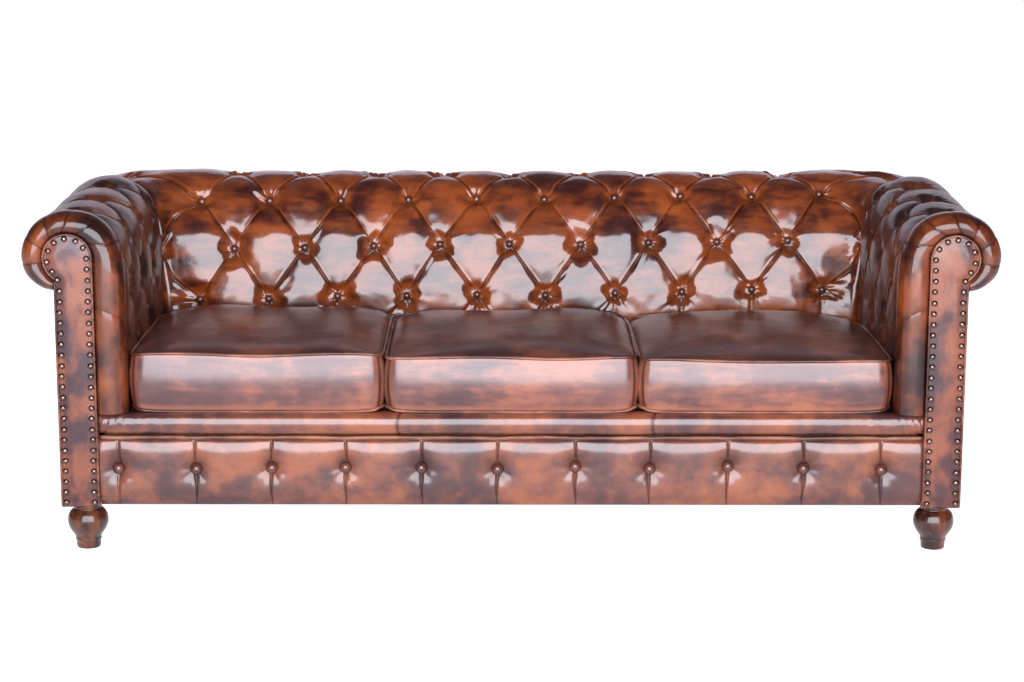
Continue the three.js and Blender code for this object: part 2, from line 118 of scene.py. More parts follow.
studio_air = bpy.data.worlds.new("studio_air")
studio_air.use_nodes = True
air_tree = studio_air.node_tree
air_shader = air_tree.nodes["Background"]
air_shader.inputs["Color"].default_value = AIR_GLOW
white_air = air_tree.nodes.new("ShaderNodeBackground")
white_air.inputs["Color"].default_value = AIR_SEEN
seen_air = air_tree.nodes.new("ShaderNodeLightPath")
air_mix = air_tree.nodes.new("ShaderNodeMixShader")
air_tree.links.new(seen_air.outputs["Is Camera Ray"], air_mix.inputs[0])
air_tree.links.new(air_shader.outputs[0], air_mix.inputs[1])
air_tree.links.new(white_air.outputs[0], air_mix.inputs[2])
air_tree.links.new(air_mix.outputs[0], air_tree.nodes["World Output"].inputs["Surface"])
bpy.context.scene.world = studio_air
bpy.context.scene.view_settings.view_transform = "Standard"

EYE = (-0.014, -5.3415, 1.4471)
LOOK_DOWN = 0.1977
LOOK_RIGHT = 0.0031
LENS_ROLL = 0.0022
LENS = 81.75
camera_data = bpy.data.cameras.new("studio_camera")
camera_data.sensor_width = 36
camera_data.lens = LENS
camera = bpy.data.objects.new("studio_camera", camera_data)
camera.rotation_mode = "QUATERNION"
camera.location = EYE
aim = Matrix.Rotation(-LOOK_RIGHT, 3, "Z") @ Matrix.Rotation(pi / 2 - LOOK_DOWN, 3, "X")
camera.rotation_quaternion = (aim @ Matrix.Rotation(LENS_ROLL, 3, "Z")).to_quaternion()
bpy.context.scene.collection.objects.link(camera)
bpy.context.scene.camera = camera


# ---------------------------------------------------------------------------------------------
# The hardwood frame: sawn rails, posts and blocks, glued and screwed, all hidden by the covers.
# The first of the finishes, so the small classes that write every material are here.
class Value:
    """One number in a finish. Arithmetic on it adds Math nodes."""

    def __init__(self, finish, socket):
        self.finish, self.socket = finish, socket

    def math(self, operation, other, swapped=False):
        pair = [other, self] if swapped else [self, other]
        return self.finish.value("Math", {"operation": operation}, dict(enumerate(pair)))

    def __add__(self, other):
        return self.math("ADD", other)

    def __radd__(self, other):
        return self.math("ADD", other, True)

    def __sub__(self, other):
        return self.math("SUBTRACT", other)

    def __rsub__(self, other):
        return self.math("SUBTRACT", other, True)

    def __mul__(self, other):
        return self.math("MULTIPLY", other)

    def __rmul__(self, other):
        return self.math("MULTIPLY", other, True)

    def most(self, other):
        return self.math("MAXIMUM", other)

    def ramp(self, low, high):
        """0 below low, 1 above high and smooth between them."""
        ends = {"Value": self, "From Min": low, "From Max": high}
        return self.finish.value("MapRange", {"interpolation_type": "SMOOTHSTEP"}, ends)


class Finish:
    """A material on the piece's own coordinates, written as expressions."""

    def __init__(self, name, settings=()):
        self.material = bpy.data.materials.new(name)
        self.material.use_nodes = True
        self.tree = self.material.node_tree
        self.shader = self.tree.nodes["Principled BSDF"]
        for socket, value in dict(settings).items():
            self.shader.inputs[socket].default_value = value
        self.place = self.node("TexCoord").outputs["Object"]

    def node(self, kind, settings=(), inputs=()):
        made = self.tree.nodes.new("ShaderNode" + kind)
        for setting, value in dict(settings).items():
            setattr(made, setting, value)
        self.feed(made, inputs)
        return made

    def feed(self, node, inputs):
        for socket, value in dict(inputs).items():
            source = value.socket if isinstance(value, Value) else value
            if isinstance(source, bpy.types.NodeSocket):
                self.tree.links.new(source, node.inputs[socket])
            else:
                node.inputs[socket].default_value = source

    def value(self, kind, settings=(), inputs=(), output=0):
        return Value(self, self.node(kind, settings, inputs).outputs[output])

    def stretched(self, scale):
        return self.node("Mapping", {}, {"Vector": self.place, "Scale": scale}).outputs[0]

    def clouds(self, scale, detail=4, stretch=None, distortion=0.0, roughness=0.55):
        where = self.stretched(stretch) if stretch else self.place
        inputs = {"Vector": where, "Scale": scale, "Detail": detail}
        inputs.update({"Distortion": distortion, "Roughness": roughness})
        return self.value("TexNoise", {}, inputs)

    def cells(self, scale, feature="F1"):
        return self.value("TexVoronoi", {"feature": feature}, {"Vector": self.place, "Scale": scale})

    def mark(self, name):
        """A number that the piece's mesh carries at each point, or 0 where it carries none."""
        return self.value("Attribute", {"attribute_name": name}, {}, "Fac")

    def blend(self, share, first, second):
        first, second = [(*c, 1) if isinstance(c, tuple) else c for c in (first, second)]
        inputs = {0: share, 6: first, 7: second}
        return self.node("Mix", {"data_type": "RGBA"}, inputs).outputs[2]

    def surface(self, colour, roughness, height, depth):
        bump = self.node("Bump", {}, {"Height": height, "Distance": depth, "Strength": 1.0})
        look = {"Base Color": colour, "Roughness": roughness, "Normal": bump.outputs[0]}
        self.feed(self.shader, look)
        return self.material


def sawn_wood():
    wood = Finish("sawn_hardwood")
    rings = wood.clouds(9, 5, stretch=(0.6, 6, 9), distortion=1.2)
    pores = wood.clouds(160, 3, stretch=(0.05, 1, 1))
    colour = wood.blend(rings.ramp(0.35, 0.7), (0.56, 0.36, 0.19), (0.72, 0.52, 0.31))
    colour = wood.blend(pores.ramp(0.55, 0.75) * 0.5, colour, (0.38, 0.23, 0.12))
    return wood.surface(colour, 0.62 + pores * 0.2, pores + rings * 0.3, 0.0006)


def woven(name, light, dark, threads):
    """Coarse cloth: threads a metre over and under each other."""
    cloth = Finish(name)
    over = cloth.value("TexWave", {"bands_direction": "X"}, {"Vector": cloth.place, "Scale": threads})
    under = cloth.value("TexWave", {"bands_direction": "Y"}, {"Vector": cloth.place, "Scale": threads})
    slub = cloth.clouds(60, 4)
    weave = over * under
    colour = cloth.blend(weave.ramp(0.1, 0.6), dark, light)
    colour = cloth.blend(slub.ramp(0.5, 0.75) * 0.4, colour, dark)
    return cloth.surface(colour, 0.85 + slub * 0.1, weave + slub * 0.4, 0.0008)


def wire_steel():
    steel = Finish("spring_steel", {"Metallic": 1.0})
    drawn = steel.clouds(90, 4, stretch=(1, 0.1, 1))
    rust = steel.clouds(25, 5).ramp(0.6, 0.75)
    colour = steel.blend(rust * 0.5, (0.42, 0.42, 0.43), (0.20, 0.10, 0.05))
    return steel.surface(colour, 0.35 + drawn * 0.25, drawn, 0.0002)


def cut_foam():
    foam = Finish("seat_foam")
    holes = foam.cells(420)
    tint = foam.clouds(12, 3)
    colour = foam.blend(tint, (0.74, 0.63, 0.36), (0.82, 0.74, 0.50))
    return foam.surface(colour, 0.9 + holes * 0.05, holes, 0.0010)


hardwood = sawn_wood()
webbing = woven("jute_webbing", (0.58, 0.45, 0.27), (0.30, 0.21, 0.11), 60)
hessian = woven("hessian", (0.60, 0.49, 0.31), (0.30, 0.23, 0.13), 110)
platform_cloth = woven("platform_cloth", (0.045, 0.018, 0.012), (0.016, 0.006, 0.004), 300)
spring_steel = wire_steel()
seat_foam = cut_foam()
black_lining = woven("black_lining", (0.035, 0.035, 0.04), (0.010, 0.010, 0.012), 260)
INNER_FINISHES = [
    (hardwood, ("rail", "post", "block", "slat"), "frame_hardwood"),
    (webbing, ("webbing",), "jute_webbing"),
    (hessian, ("hessian",), "hessian"),
    (platform_cloth, ("deck",), "hessian"),
    (spring_steel, ("springs", "bolt"), "steel"),
    (seat_foam, ("core",), "seat_foam"),
    (black_lining, ("dust_cover",), "lining_cloth"),
]
for node_name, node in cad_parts.items():
    for material, words, slot_name in INNER_FINISHES:
        if any(word in node_name for word in words):
            node.data.materials.clear()
            node.data.materials.append(material)


# ---------------------------------------------------------------------------------------------
# Four turned feet in dark stained and varnished wood, each screwed into its corner block: a
# thin collar, a round ball that tapers to a narrow bead, and a plain ankle on a flat sole.
FOOT_PROFILE = [
    (0.0300, 1.000), (0.0312, 0.975), (0.0306, 0.945), (0.0290, 0.925), (0.0300, 0.905),
    (0.0340, 0.880), (0.0388, 0.830), (0.0425, 0.750), (0.0440, 0.650), (0.0436, 0.570),
    (0.0415, 0.490), (0.0380, 0.420), (0.0342, 0.360), (0.0308, 0.310), (0.0287, 0.270),
    (0.0277, 0.235), (0.0286, 0.215), (0.0282, 0.190), (0.0267, 0.170), (0.0264, 0.120),
    (0.0262, 0.060), (0.0256, 0.015), (0.0246, 0.000),
]
FOOT_STEPS = 40


def varnished_wood():
    varnish = {"Coat Weight": 0.8, "Coat Roughness": 0.1, "Specular IOR Level": 0.2}
    wood = Finish("varnished_foot_wood", varnish)
    grain = wood.clouds(26, 6, stretch=(1, 1, 0.14), distortion=0.6)
    streak = wood.clouds(150, 3, stretch=(1, 1, 0.05))
    wear = wood.clouds(34, 5).ramp(0.60, 0.72)
    colour = wood.blend(grain.ramp(0.34, 0.66), (0.014, 0.003, 0.002), (0.125, 0.033, 0.012))
    colour = wood.blend(streak.ramp(0.5, 0.7) * 0.6, colour, (0.040, 0.010, 0.004))
    colour = wood.blend(wear * 0.6, colour, (0.30, 0.13, 0.06))
    return wood.surface(colour, 0.24 + streak * 0.18 + wear * 0.2, grain + streak * 0.6, 0.0004)


def covered(name, shape, material, replaced=(), weld=0.00001):
    """A mesh made into a piece of the sofa, with its finish and the CAD nodes it stands for."""
    piece = finished(name, shape, weld)
    piece.data.materials.append(material)
    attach(piece, "root")
    if replaced:
        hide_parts(*replaced)
    return piece


foot_wood = varnished_wood()
for end in ("front", "rear"):
    for side in ("left", "right"):
        low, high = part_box(f"{side}_{end}_foot")
        middle = (low + high) / 2
        shape = bmesh.new()
        rim = [shape.verts.new((radius, 0, share * high.z)) for radius, share in FOOT_PROFILE]
        sole = shape.verts.new((0, 0, 0))
        crown = shape.verts.new((0, 0, high.z))
        loop = [crown, *rim, sole]
        edges = [shape.edges.new(pair) for pair in zip(loop, loop[1:])]
        bmesh.ops.spin(
            shape, geom=loop + edges, cent=(0, 0, 0), axis=(0, 0, 1),
            angle=2 * pi, steps=FOOT_STEPS, use_merge=True,
        )
        bmesh.ops.translate(shape, verts=shape.verts, vec=(middle.x, middle.y, 0))
        covered(
            f"{side}_{end}_turned_foot", shape, foot_wood,
            [f"{side}_{end}_foot"],
        )


# ---------------------------------------------------------------------------------------------
# The front apron: leather over a thin pad on the front rail, tucked in a pleat at each of its
# buttons. The leather of the whole sofa is hand-antiqued: dark stain rubbed back to cognac.
def antiqued_leather(name, dark, middle, bright, settings=(), rub=(0.40, 0.62), streak=(3, 3, 16)):
    """Stained leather with a clear waxed coat. The mesh marks the pleat, seam and corner lines,
    painted darker, with painted shade below the buttons of the back and arms, above the apron's
    buttons and on the cushion tops; where the stain is rubbed off along the pleat lips, with
    painted light on the cushion boxing; and the hollow round each button, painted with a warm
    glow and darker right round the button."""
    wax = {"Coat Weight": 1.0, "Coat Roughness": 0.15, "Coat IOR": 1.6}
    wax.update({"Coat Tint": (1, 0.96, 0.97, 1), "Specular IOR Level": 0.12})
    wax.update(settings)
    hide = Finish(name, wax)
    fold_and_painted_shade, pit, rubbed_and_painted_light = hide.mark("fold_and_painted_shade"), hide.mark("pit"), hide.mark("rubbed_and_painted_light")
    patches = hide.clouds(7.5, 3, distortion=0.3)
    broad = hide.clouds(2.6, 3)
    brushed = hide.clouds(4.5, 3, stretch=streak, distortion=0.4)
    fine = hide.clouds(16, 5, stretch=streak, distortion=0.3, roughness=0.6)
    speckle = hide.clouds(190, 5, roughness=0.7)
    crackle = hide.cells(210, "DISTANCE_TO_EDGE")
    mottled = hide.clouds(34, 4, roughness=0.6)
    rubbed = (patches * 0.48 + brushed * 0.34 + fine * 0.08 + mottled * 0.10).ramp(*rub)
    tone_and_painted_shade = (broad * 0.45 + patches * 0.30 + brushed * 0.17 + mottled * 0.12).ramp(0.42, 0.64)
    colour = hide.blend(tone_and_painted_shade, dark, middle)
    colour = hide.blend(rubbed * (0.45 + 0.55 * tone_and_painted_shade), colour, bright)
    # Painted glow: the hollow round each button is painted lighter.
    colour = hide.blend(pit.ramp(0.04, 0.45) * 0.6, colour, bright)
    # Paler along the rubbed pleat lips; painted light on the cushion boxing.
    colour = hide.blend(rubbed_and_painted_light * 0.5, colour, tuple(1.3 * c for c in bright))
    colour = hide.blend(speckle.ramp(0.52, 0.75) * 0.35, colour, dark)
    # Near black along the pleat, seam and corner lines and right round each button; painted shade
    # where the fold mark carries it.
    dark_lines_and_painted_shade = fold_and_painted_shade.most(pit.ramp(0.84, 0.97)) * 0.9
    colour = hide.blend(dark_lines_and_painted_shade, colour, (0.012, 0.003, 0.002))
    scratches = hide.clouds(42, 7, stretch=(0.5, 0.5, 2.2), distortion=1.5, roughness=0.7)
    scuffs = scratches.ramp(0.66, 0.76)
    colour = hide.blend(scuffs * 0.25, colour, (0.40, 0.18, 0.12))
    grain = hide.cells(620)
    creases = hide.clouds(75, 6, distortion=0.8, roughness=0.72)
    ripples = hide.clouds(30, 5, distortion=1.4, roughness=0.6)
    height = grain * 0.16 + creases * 1.1 + crackle.ramp(0.0, 0.12) * 0.12 + ripples * 1.2
    rough = 0.32 + speckle * 0.16 + scuffs * 0.18 - rubbed * 0.06
    hide.feed(hide.shader, {"Coat Weight": (1 - fold_and_painted_shade * 0.65) * wax["Coat Weight"]})
    return hide.surface(colour, rough, height, 0.0010)


DARK_STAIN = (0.030, 0.005, 0.003)
MAHOGANY = (0.080, 0.015, 0.006)
plain_leather = antiqued_leather(
    "apron_leather", (0.040, 0.012, 0.012), (0.100, 0.031, 0.023), (0.235, 0.067, 0.024),
    {"Coat Roughness": 0.17}, streak=(3, 3, 4),
)

APRON_BUTTONS = 11
APRON_PITCH = 0.16535
APRON_SHIFT = -0.0255
APRON_BUTTON_SHARE = 0.565
PLEAT_SHAKE = 0.005
PLEAT_WAVER = 0.004
BUTTON_SHAKE = 0.004
random.seed(7)
apron_low, apron_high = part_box("front_apron")
apron_button_height = apron_low.z + APRON_BUTTON_SHARE * (apron_high.z - apron_low.z)
pleats = []
for number in range(APRON_BUTTONS):
    x = APRON_SHIFT + (number - (APRON_BUTTONS - 1) / 2) * APRON_PITCH
    x += random.uniform(-1, 1) * PLEAT_SHAKE
    pleats.append((x, apron_button_height + random.uniform(-1, 1) * BUTTON_SHAKE))


def smooth(share):
    share = min(max(share, 0.0), 1.0)
    return share * share * (3 - 2 * share)


def rough_at(point, scale, seed=0.0):
    """Smooth unevenness, from -1 to 1, that is the same each run."""
    return noise.noise(Vector(point) * scale + Vector((seed, seed * 1.7, -seed)))


def near_pleat(x, z):
    """Distance to the nearest pleat line, to the nearest button, and that button's number."""
    gaps = []
    for number, (pleat_x, _) in enumerate(pleats):
        waver = PLEAT_WAVER * rough_at((pleat_x, 0, z), 18)
        gaps.append((abs(x - pleat_x + waver), number))
    gap, number = min(gaps)
    return gap, hypot(x - pleats[number][0], z - pleats[number][1]), number


APRON_SWELL = 0.0035
APRON_PLEAT = 0.0042
APRON_PLEAT_WIDTH = 0.0022
APRON_DIMPLE = 0.008
APRON_DIMPLE_REACH = 0.026
APRON_TUCK = 0.010
APRON_LUMPS = 0.0014
APRON_OVERLAP = 0.003
DARK_PLEAT_WIDTH = 0.0015
PAINTED_SHADE_REACH = 0.023
PAINTED_SHADE_RISE = 0.007


def apron_reach(s):
    """Along the apron, with the mesh closer at the pleats than between them."""
    x = (s * 2 - 1) * (apron_high.x + APRON_OVERLAP)
    crowded = 0.1 * smooth(min(s, 1 - s) * 20)
    return x - crowded * APRON_PITCH * sin(2 * pi * (x - APRON_SHIFT) / APRON_PITCH)


def apron_point(s, t):
    x = apron_reach(s)
    z = apron_low.z + t * (apron_high.z - apron_low.z)
    gap, away, number = near_pleat(x, z)
    swell = 1 - (1 - min(gap / (APRON_PITCH / 2), 1)) ** 3
    edge = 1 - (2 * t - 1) ** 6
    front = apron_low.y + 0.004 - APRON_SWELL * swell * edge
    front += APRON_PLEAT * exp(-(gap / APRON_PLEAT_WIDTH) ** 1.3) * (0.45 + 0.55 * edge)
    front += APRON_DIMPLE * exp(-(away / APRON_DIMPLE_REACH) ** 2)
    turn = atan2(z - pleats[number][1], x - pleats[number][0])
    pucker = exp(-((away - APRON_DIMPLE_REACH) / 0.014) ** 2)
    front += 0.0003 * sin(turn * 8 + number * 2.3) * pucker
    front += APRON_LUMPS * rough_at((x, 0, z), 9, number)
    front = min(front + APRON_TUCK * (1 - edge), apron_high.y - 0.002)
    # Darker along each pleat line, and painted shade just above each button.
    shade = hypot(x - pleats[number][0], z - pleats[number][1] - PAINTED_SHADE_RISE)
    tone_and_painted_shade = max(exp(-(gap / DARK_PLEAT_WIDTH) ** 2), 0.75 * exp(-(shade / PAINTED_SHADE_REACH) ** 2))
    return Vector((x, front, z)), tone_and_painted_shade, 0.0


def marked_panel(name, across, along, place, back, replaced, leather):
    """A stuffed panel: a grid whose front is place(s, t) and whose back is back(s, t)."""
    shape = bmesh.new()
    fold_and_painted_shade = shape.verts.layers.float.new("fold_and_painted_shade")
    pit = shape.verts.layers.float.new("pit")
    bmesh.ops.create_grid(shape, x_segments=across, y_segments=along, size=0.5)
    rear = bmesh.ops.extrude_face_region(shape, geom=shape.faces[:])
    rear_verts = {v for v in rear["geom"] if isinstance(v, bmesh.types.BMVert)}
    for vert in shape.verts:
        s, t = vert.co.x + 0.5, vert.co.y + 0.5
        if vert in rear_verts:
            vert.co = back(s, t)
        else:
            vert.co, vert[fold_and_painted_shade], vert[pit] = place(s, t)
    piece = covered(name, shape, leather, replaced)


def apron_back(s, t):
    return Vector((apron_reach(s), apron_high.y, apron_low.z + t * (apron_high.z - apron_low.z)))


marked_panel(
    "buttoned_apron", 520, 44, apron_point, apron_back, ["front_apron"],
    plain_leather,
)


def add_button(shape, centre, facing, radius, height, rings=5, around=14):
    """A leather-covered button: a low dome with a rolled rim, set facing outwards."""
    made = bmesh.ops.create_uvsphere(shape, u_segments=around, v_segments=2 * rings, radius=1)
    turn = Vector((0, 0, 1)).rotation_difference(facing).to_matrix().to_4x4()
    for vert in made["verts"]:
        out = hypot(vert.co.x, vert.co.y)
        vert.co.x, vert.co.y = vert.co.x * radius, vert.co.y * radius
        lift = vert.co.z if vert.co.z > 0 else vert.co.z * 0.35
        vert.co.z = height * lift * (1 - 0.12 * out)
    bmesh.ops.transform(shape, matrix=Matrix.Translation(centre) @ turn, verts=made["verts"])


def button_piece(name, spots, radius, height, leather):
    shape = bmesh.new()
    for centre, facing in spots:
        add_button(shape, centre, facing, radius, height)
    covered(name, shape, leather)


button_leather = antiqued_leather(
    "button_leather", (0.045, 0.011, 0.007), (0.100, 0.026, 0.014), (0.20, 0.060, 0.030),
    {"Coat Roughness": 0.16}, rub=(0.5, 0.8),
)
APRON_BUTTON_RADIUS = 0.0120
APRON_BUTTON_DOME = 0.0095
APRON_BUTTON_SUNK = 0.0065
apron_spots = []
for x, z in pleats:
    apron_spots.append((Vector((x, apron_low.y + APRON_BUTTON_SUNK, z)), Vector((0, -1, 0.05))))
button_piece(
    "apron_buttons", apron_spots, APRON_BUTTON_RADIUS, APRON_BUTTON_DOME,
    button_leather,
)


# ---------------------------------------------------------------------------------------------
# The piping that covers the apron's top tacks: leather sewn over a cord, a little wavy because
# the pleats under it pull at it, and rubbed pale along its ridge.
piping_leather = antiqued_leather(
    "piping_leather", (0.035, 0.010, 0.007), (0.120, 0.035, 0.018), (0.28, 0.105, 0.060),
    {"Coat Weight": 0.5}, rub=(0.42, 0.66),
)
CORD_GLANCE = 0.002


def round_cord(name, route, radius, steps, around=10, closed=False, replaced=()):
    """A sewn piping: a round tube on route(share), closed at its ends or on itself."""
    shape = bmesh.new()
    bmesh.ops.create_grid(shape, x_segments=steps, y_segments=around, size=0.5)
    for vert in shape.verts:
        share, turn = vert.co.x + 0.5, (vert.co.y + 0.5) * 2 * pi
        here = route(share)
        before, after = share - CORD_GLANCE, share + CORD_GLANCE
        if not closed:
            before, after = max(before, 0), min(after, 1)
        ahead = (route(after) - route(before)).normalized()
        out = ahead.cross(Vector((0, 0, 1)))
        if out.length < 0.2:
            out = ahead.cross(Vector((0, 1, 0)))
        out.normalize()
        up = out.cross(ahead)
        size = radius if closed or 0.0001 < share < 0.9999 else radius * 0.01
        vert.co = here + (out * cos(turn) + up * sin(turn)) * size
    covered(name, shape, piping_leather, replaced, weld=0.0001)


piping_low, piping_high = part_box("front_piping")
PIPING_RADIUS = 0.0046
PIPING_PULL = 0.0016
PIPING_WAVER = 0.0012


def front_piping_route(share):
    x = (share * 2 - 1) * piping_high.x
    gap = near_pleat(x, apron_button_height)[0]
    pull = PIPING_PULL * exp(-(gap / 0.020) ** 2)
    z = (piping_low.z + piping_high.z) / 2 - pull + PIPING_WAVER * rough_at((x, 0, 0), 7)
    return Vector((x, piping_low.y + PIPING_RADIUS - 0.001 + pull, z))


round_cord("apron_piping", front_piping_route, PIPING_RADIUS, 420, replaced=["front_piping"])


# ---------------------------------------------------------------------------------------------
# The border roll under the cushions: a long stuffed tube of leather in three lengths, sewn end
# to end, tacked along the front of the seat deck.
roll_low, roll_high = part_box("front_border_roll")
ARM_SIDE = 0.829
ROLL_SEAMS = (-0.247, 0.306)
ROLL_REACH = 0.024
ROLL_AXIS = 0.020
ROLL_OPENING = 0.35
ROLL_SAG = 0.0020


def roll_point(s, t):
    x = (s * 2 - 1) * roll_high.x
    turn = -pi / 2 - ROLL_OPENING + t * (pi + 2 * ROLL_OPENING)
    half = (roll_high.z - roll_low.z) / 2
    gap = min(abs(x - seam - 0.05 * (t - 0.5) ** 2) for seam in ROLL_SEAMS)
    seam = exp(-(gap / 0.003) ** 2)
    end = smooth((roll_high.x - abs(x)) / 0.03)
    tucked = smooth((abs(x) - ARM_SIDE + 0.01) / 0.02)
    sag = ROLL_SAG * rough_at((x, t * 0.1, 0), 6, 3.0)
    wrinkle = 0.0011 * rough_at((x * 5, t * 0.5, 1), 22, 5.0) * smooth((abs(x) - 0.6) / 0.2)
    swell = 1 + 0.05 * rough_at((x, 0, 0), 3) - 0.08 * seam - 0.10 * (1 - end)
    wrinkle += 0.0016 * tucked * sin(abs(x) * 420 + t * 9) * (1 - t)
    out = ROLL_REACH * cos(turn) ** 0.8 if cos(turn) > 0 else ROLL_REACH * cos(turn)
    y = roll_low.y + ROLL_AXIS - out * swell + sag + wrinkle
    z = (roll_low.z + roll_high.z) / 2 + half * sin(max(min(turn, pi / 2), -pi / 2)) * swell
    return Vector((x, y, z)), seam, 0.0


def roll_back(s, t):
    x = (s * 2 - 1) * roll_high.x
    z = roll_low.z + 0.002 + t * (roll_high.z - roll_low.z - 0.004)
    depth = ROLL_REACH * smooth((abs(x) - ARM_SIDE + 0.012) / 0.008)
    return Vector((x, roll_high.y - 0.002 - depth, z))


marked_panel(
    "seat_border_roll", 420, 22, roll_point, roll_back, ["front_border_roll"],
    plain_leather,
)


# ---------------------------------------------------------------------------------------------
# The arm fronts: a fat stuffed border follows the scroll from the seat, over the roll and under
# its curl. It is sewn from straight strips, so a seam crosses it every so often.
def spline(points, steps):
    """A smooth line through a list of points of any size, in equal steps of its list."""
    line = []
    last = len(points) - 1
    for step in range(steps + 1):
        along = step / steps * last
        spot = min(int(along), last - 1)
        share = along - spot
        a, b, c, d = (Vector(points[min(max(spot + k, 0), last)]) for k in (-1, 0, 1, 2))
        line.append(
            0.5 * (2 * b + (c - a) * share + (2 * a - 5 * b + 4 * c - d) * share ** 2
                   + (3 * b - a - 3 * c + d) * share ** 3)
        )
    return line


def even_line(points, steps):
    """The same line in steps of equal length."""
    lengths = [0.0]
    for here, there in zip(points, points[1:]):
        lengths.append(lengths[-1] + (there - here).length)
    line, spot = [], 0
    for step in range(steps + 1):
        reach = lengths[-1] * step / steps
        while spot < len(points) - 2 and lengths[spot + 1] < reach:
            spot += 1
        share = (reach - lengths[spot]) / max(lengths[spot + 1] - lengths[spot], 1e-9)
        line.append(points[spot].lerp(points[spot + 1], min(share, 1)))
    return line


def at_share(line, share):
    along = min(max(share, 0), 1) * (len(line) - 1)
    spot = min(int(along), len(line) - 2)
    return line[spot].lerp(line[spot + 1], along - spot)


border_low, border_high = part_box("right_arm_border")
facing_low, facing_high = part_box("right_facing_panel")
ARM_IN = border_low.x
ROLL_OUT = border_high.x
ROLL_TOP = border_high.z
FACING_IN = facing_low.x
HEAD_RADIUS = (facing_high.x - facing_low.x) / 2
SCROLL = Vector((FACING_IN + HEAD_RADIUS, facing_high.z - HEAD_RADIUS))
ARM_FLAT = 0.976
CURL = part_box("right_outside_arm")[1].z + 0.0005
HEAD_END = radians(-58)
STRAIGHT_SHARE = 0.46
STRAIGHT_TOP = 0.600


def scroll_arc(radius, start, end, steps=60):
    turns = [start + (end - start) * k / steps for k in range(steps + 1)]
    return [SCROLL + Vector((cos(turn), sin(turn))) * radius for turn in turns]


inner_straight = even_line([Vector((FACING_IN, border_low.z)), Vector((FACING_IN, SCROLL.y))], 40)
inner_round = even_line(scroll_arc(HEAD_RADIUS, pi, HEAD_END), 60)
outer_straight = even_line([Vector((ARM_IN, border_low.z)), Vector((ARM_IN, STRAIGHT_TOP))], 40)
top_points = [
    (ARM_IN, STRAIGHT_TOP), (ARM_IN + 0.007, 0.661), (ARM_IN + 0.029, 0.706),
    (ARM_IN + 0.066, 0.735), (SCROLL.x, ROLL_TOP), (SCROLL.x + 0.040, 0.7372),
    (SCROLL.x + 0.073, 0.7157), (SCROLL.x + 0.095, 0.683), (ROLL_OUT, SCROLL.y),
    (ROLL_OUT - 0.006, 0.615), (ROLL_OUT - 0.022, 0.5934), (ROLL_OUT - 0.046, 0.577),
    (ARM_FLAT + 0.004, CURL),
]
outer_round = even_line(spline(top_points, 160), 60)
BAND_SECTION = even_line(
    spline(
        [(0.0, 0.010), (0.05, -0.002), (0.20, -0.0095), (0.42, -0.0120), (0.66, -0.008),
         (0.86, 0.004), (0.975, 0.020), (1.0, 0.034), (0.975, 0.046), (0.90, 0.050)], 80,
    ), 60,
)
BAND_SEAMS = (0.324, 0.545, 0.62, 0.69, 0.755, 0.82, 0.89)
BAND_SEAM_WIDTH = 0.0035
BAND_PULL_REACH = 0.016
BAND_FAN_REACH = 0.012


def band_edges(share):
    if share < STRAIGHT_SHARE:
        part = share / STRAIGHT_SHARE
        return at_share(inner_straight, part), at_share(outer_straight, part)
    part = (share - STRAIGHT_SHARE) / (1 - STRAIGHT_SHARE)
    return at_share(inner_round, part), at_share(outer_round, part)


def band_point(side):
    def place(s, t):
        inner, outer = band_edges(s)
        across = at_share(BAND_SECTION, t)
        gaps = [abs(s - seam + 0.004 * rough_at((t, seam * 9, side), 3)) for seam in BAND_SEAMS]
        gap = min(gaps)
        number = gaps.index(gap)
        strong = 1.0 if number > 0 else 0.4
        seam = exp(-(gap / BAND_SEAM_WIDTH) ** 2) * strong
        pull = exp(-(gap / BAND_PULL_REACH) ** 2) * strong
        fan = sin(gap * 900 + number) * exp(-(gap / BAND_FAN_REACH) ** 2) * (1 - t) * strong
        spot = inner.lerp(outer, across.x)
        lump = rough_at((spot.x, side, spot.y), 11, 2.0) * 0.0018
        y = facing_low.y + 0.006 + across.y + 0.0012 * seam + 0.0010 * pull - 0.0004 * fan - lump
        spot = spot + (spot - inner) * (-0.014 * pull - 0.012 * seam)
        return Vector((side * spot.x, y, spot.y)), seam * 0.8, 0.0
    return place


def band_back(side):
    def place(s, t):
        inner, outer = band_edges(s)
        spot = inner.lerp(outer, 0.02 + 0.86 * t)
        return Vector((side * spot.x, border_high.y - 0.001, spot.y))
    return place


border_leather = antiqued_leather(
    "border_leather", (0.014, 0.003, 0.002), (0.058, 0.010, 0.004), (0.215, 0.047, 0.009),
    {"Coat Weight": 0.7, "Coat Roughness": 0.12}, streak=(4, 4, 2),
)
for side_name, side in (("left", -1), ("right", 1)):
    marked_panel(
        f"{side_name}_scroll_border", 330, 40, band_point(side), band_back(side),
        [f"{side_name}_arm_border"], border_leather,
    )


# ---------------------------------------------------------------------------------------------
# The facings: a scroll-shaped board under leather, edged with thin piping and fixed through the
# piping with close-set studs of dark bronzed brass.
facing_leather = antiqued_leather(
    "facing_leather", (0.040, 0.017, 0.022), (0.085, 0.029, 0.026), (0.225, 0.066, 0.028),
    {"Coat Weight": 0.55, "Coat Roughness": 0.16}, rub=(0.45, 0.58), streak=(5, 5, 2),
)
FACING_NECK = CURL + 0.008
FACING_CROWN = 0.0045
FACING_TIP = 0.00002


def facing_line(inset):
    """The facing's outline from its inner foot, over the head and down to its outer foot."""
    radius = HEAD_RADIUS - inset
    foot = facing_low.z + inset
    line = [Vector((FACING_IN + inset, foot)), Vector((FACING_IN + inset, SCROLL.y))]
    line += scroll_arc(radius, pi, HEAD_END)[1:]
    line += [Vector((ARM_FLAT - inset, FACING_NECK)), Vector((ARM_FLAT - inset, foot))]
    return line


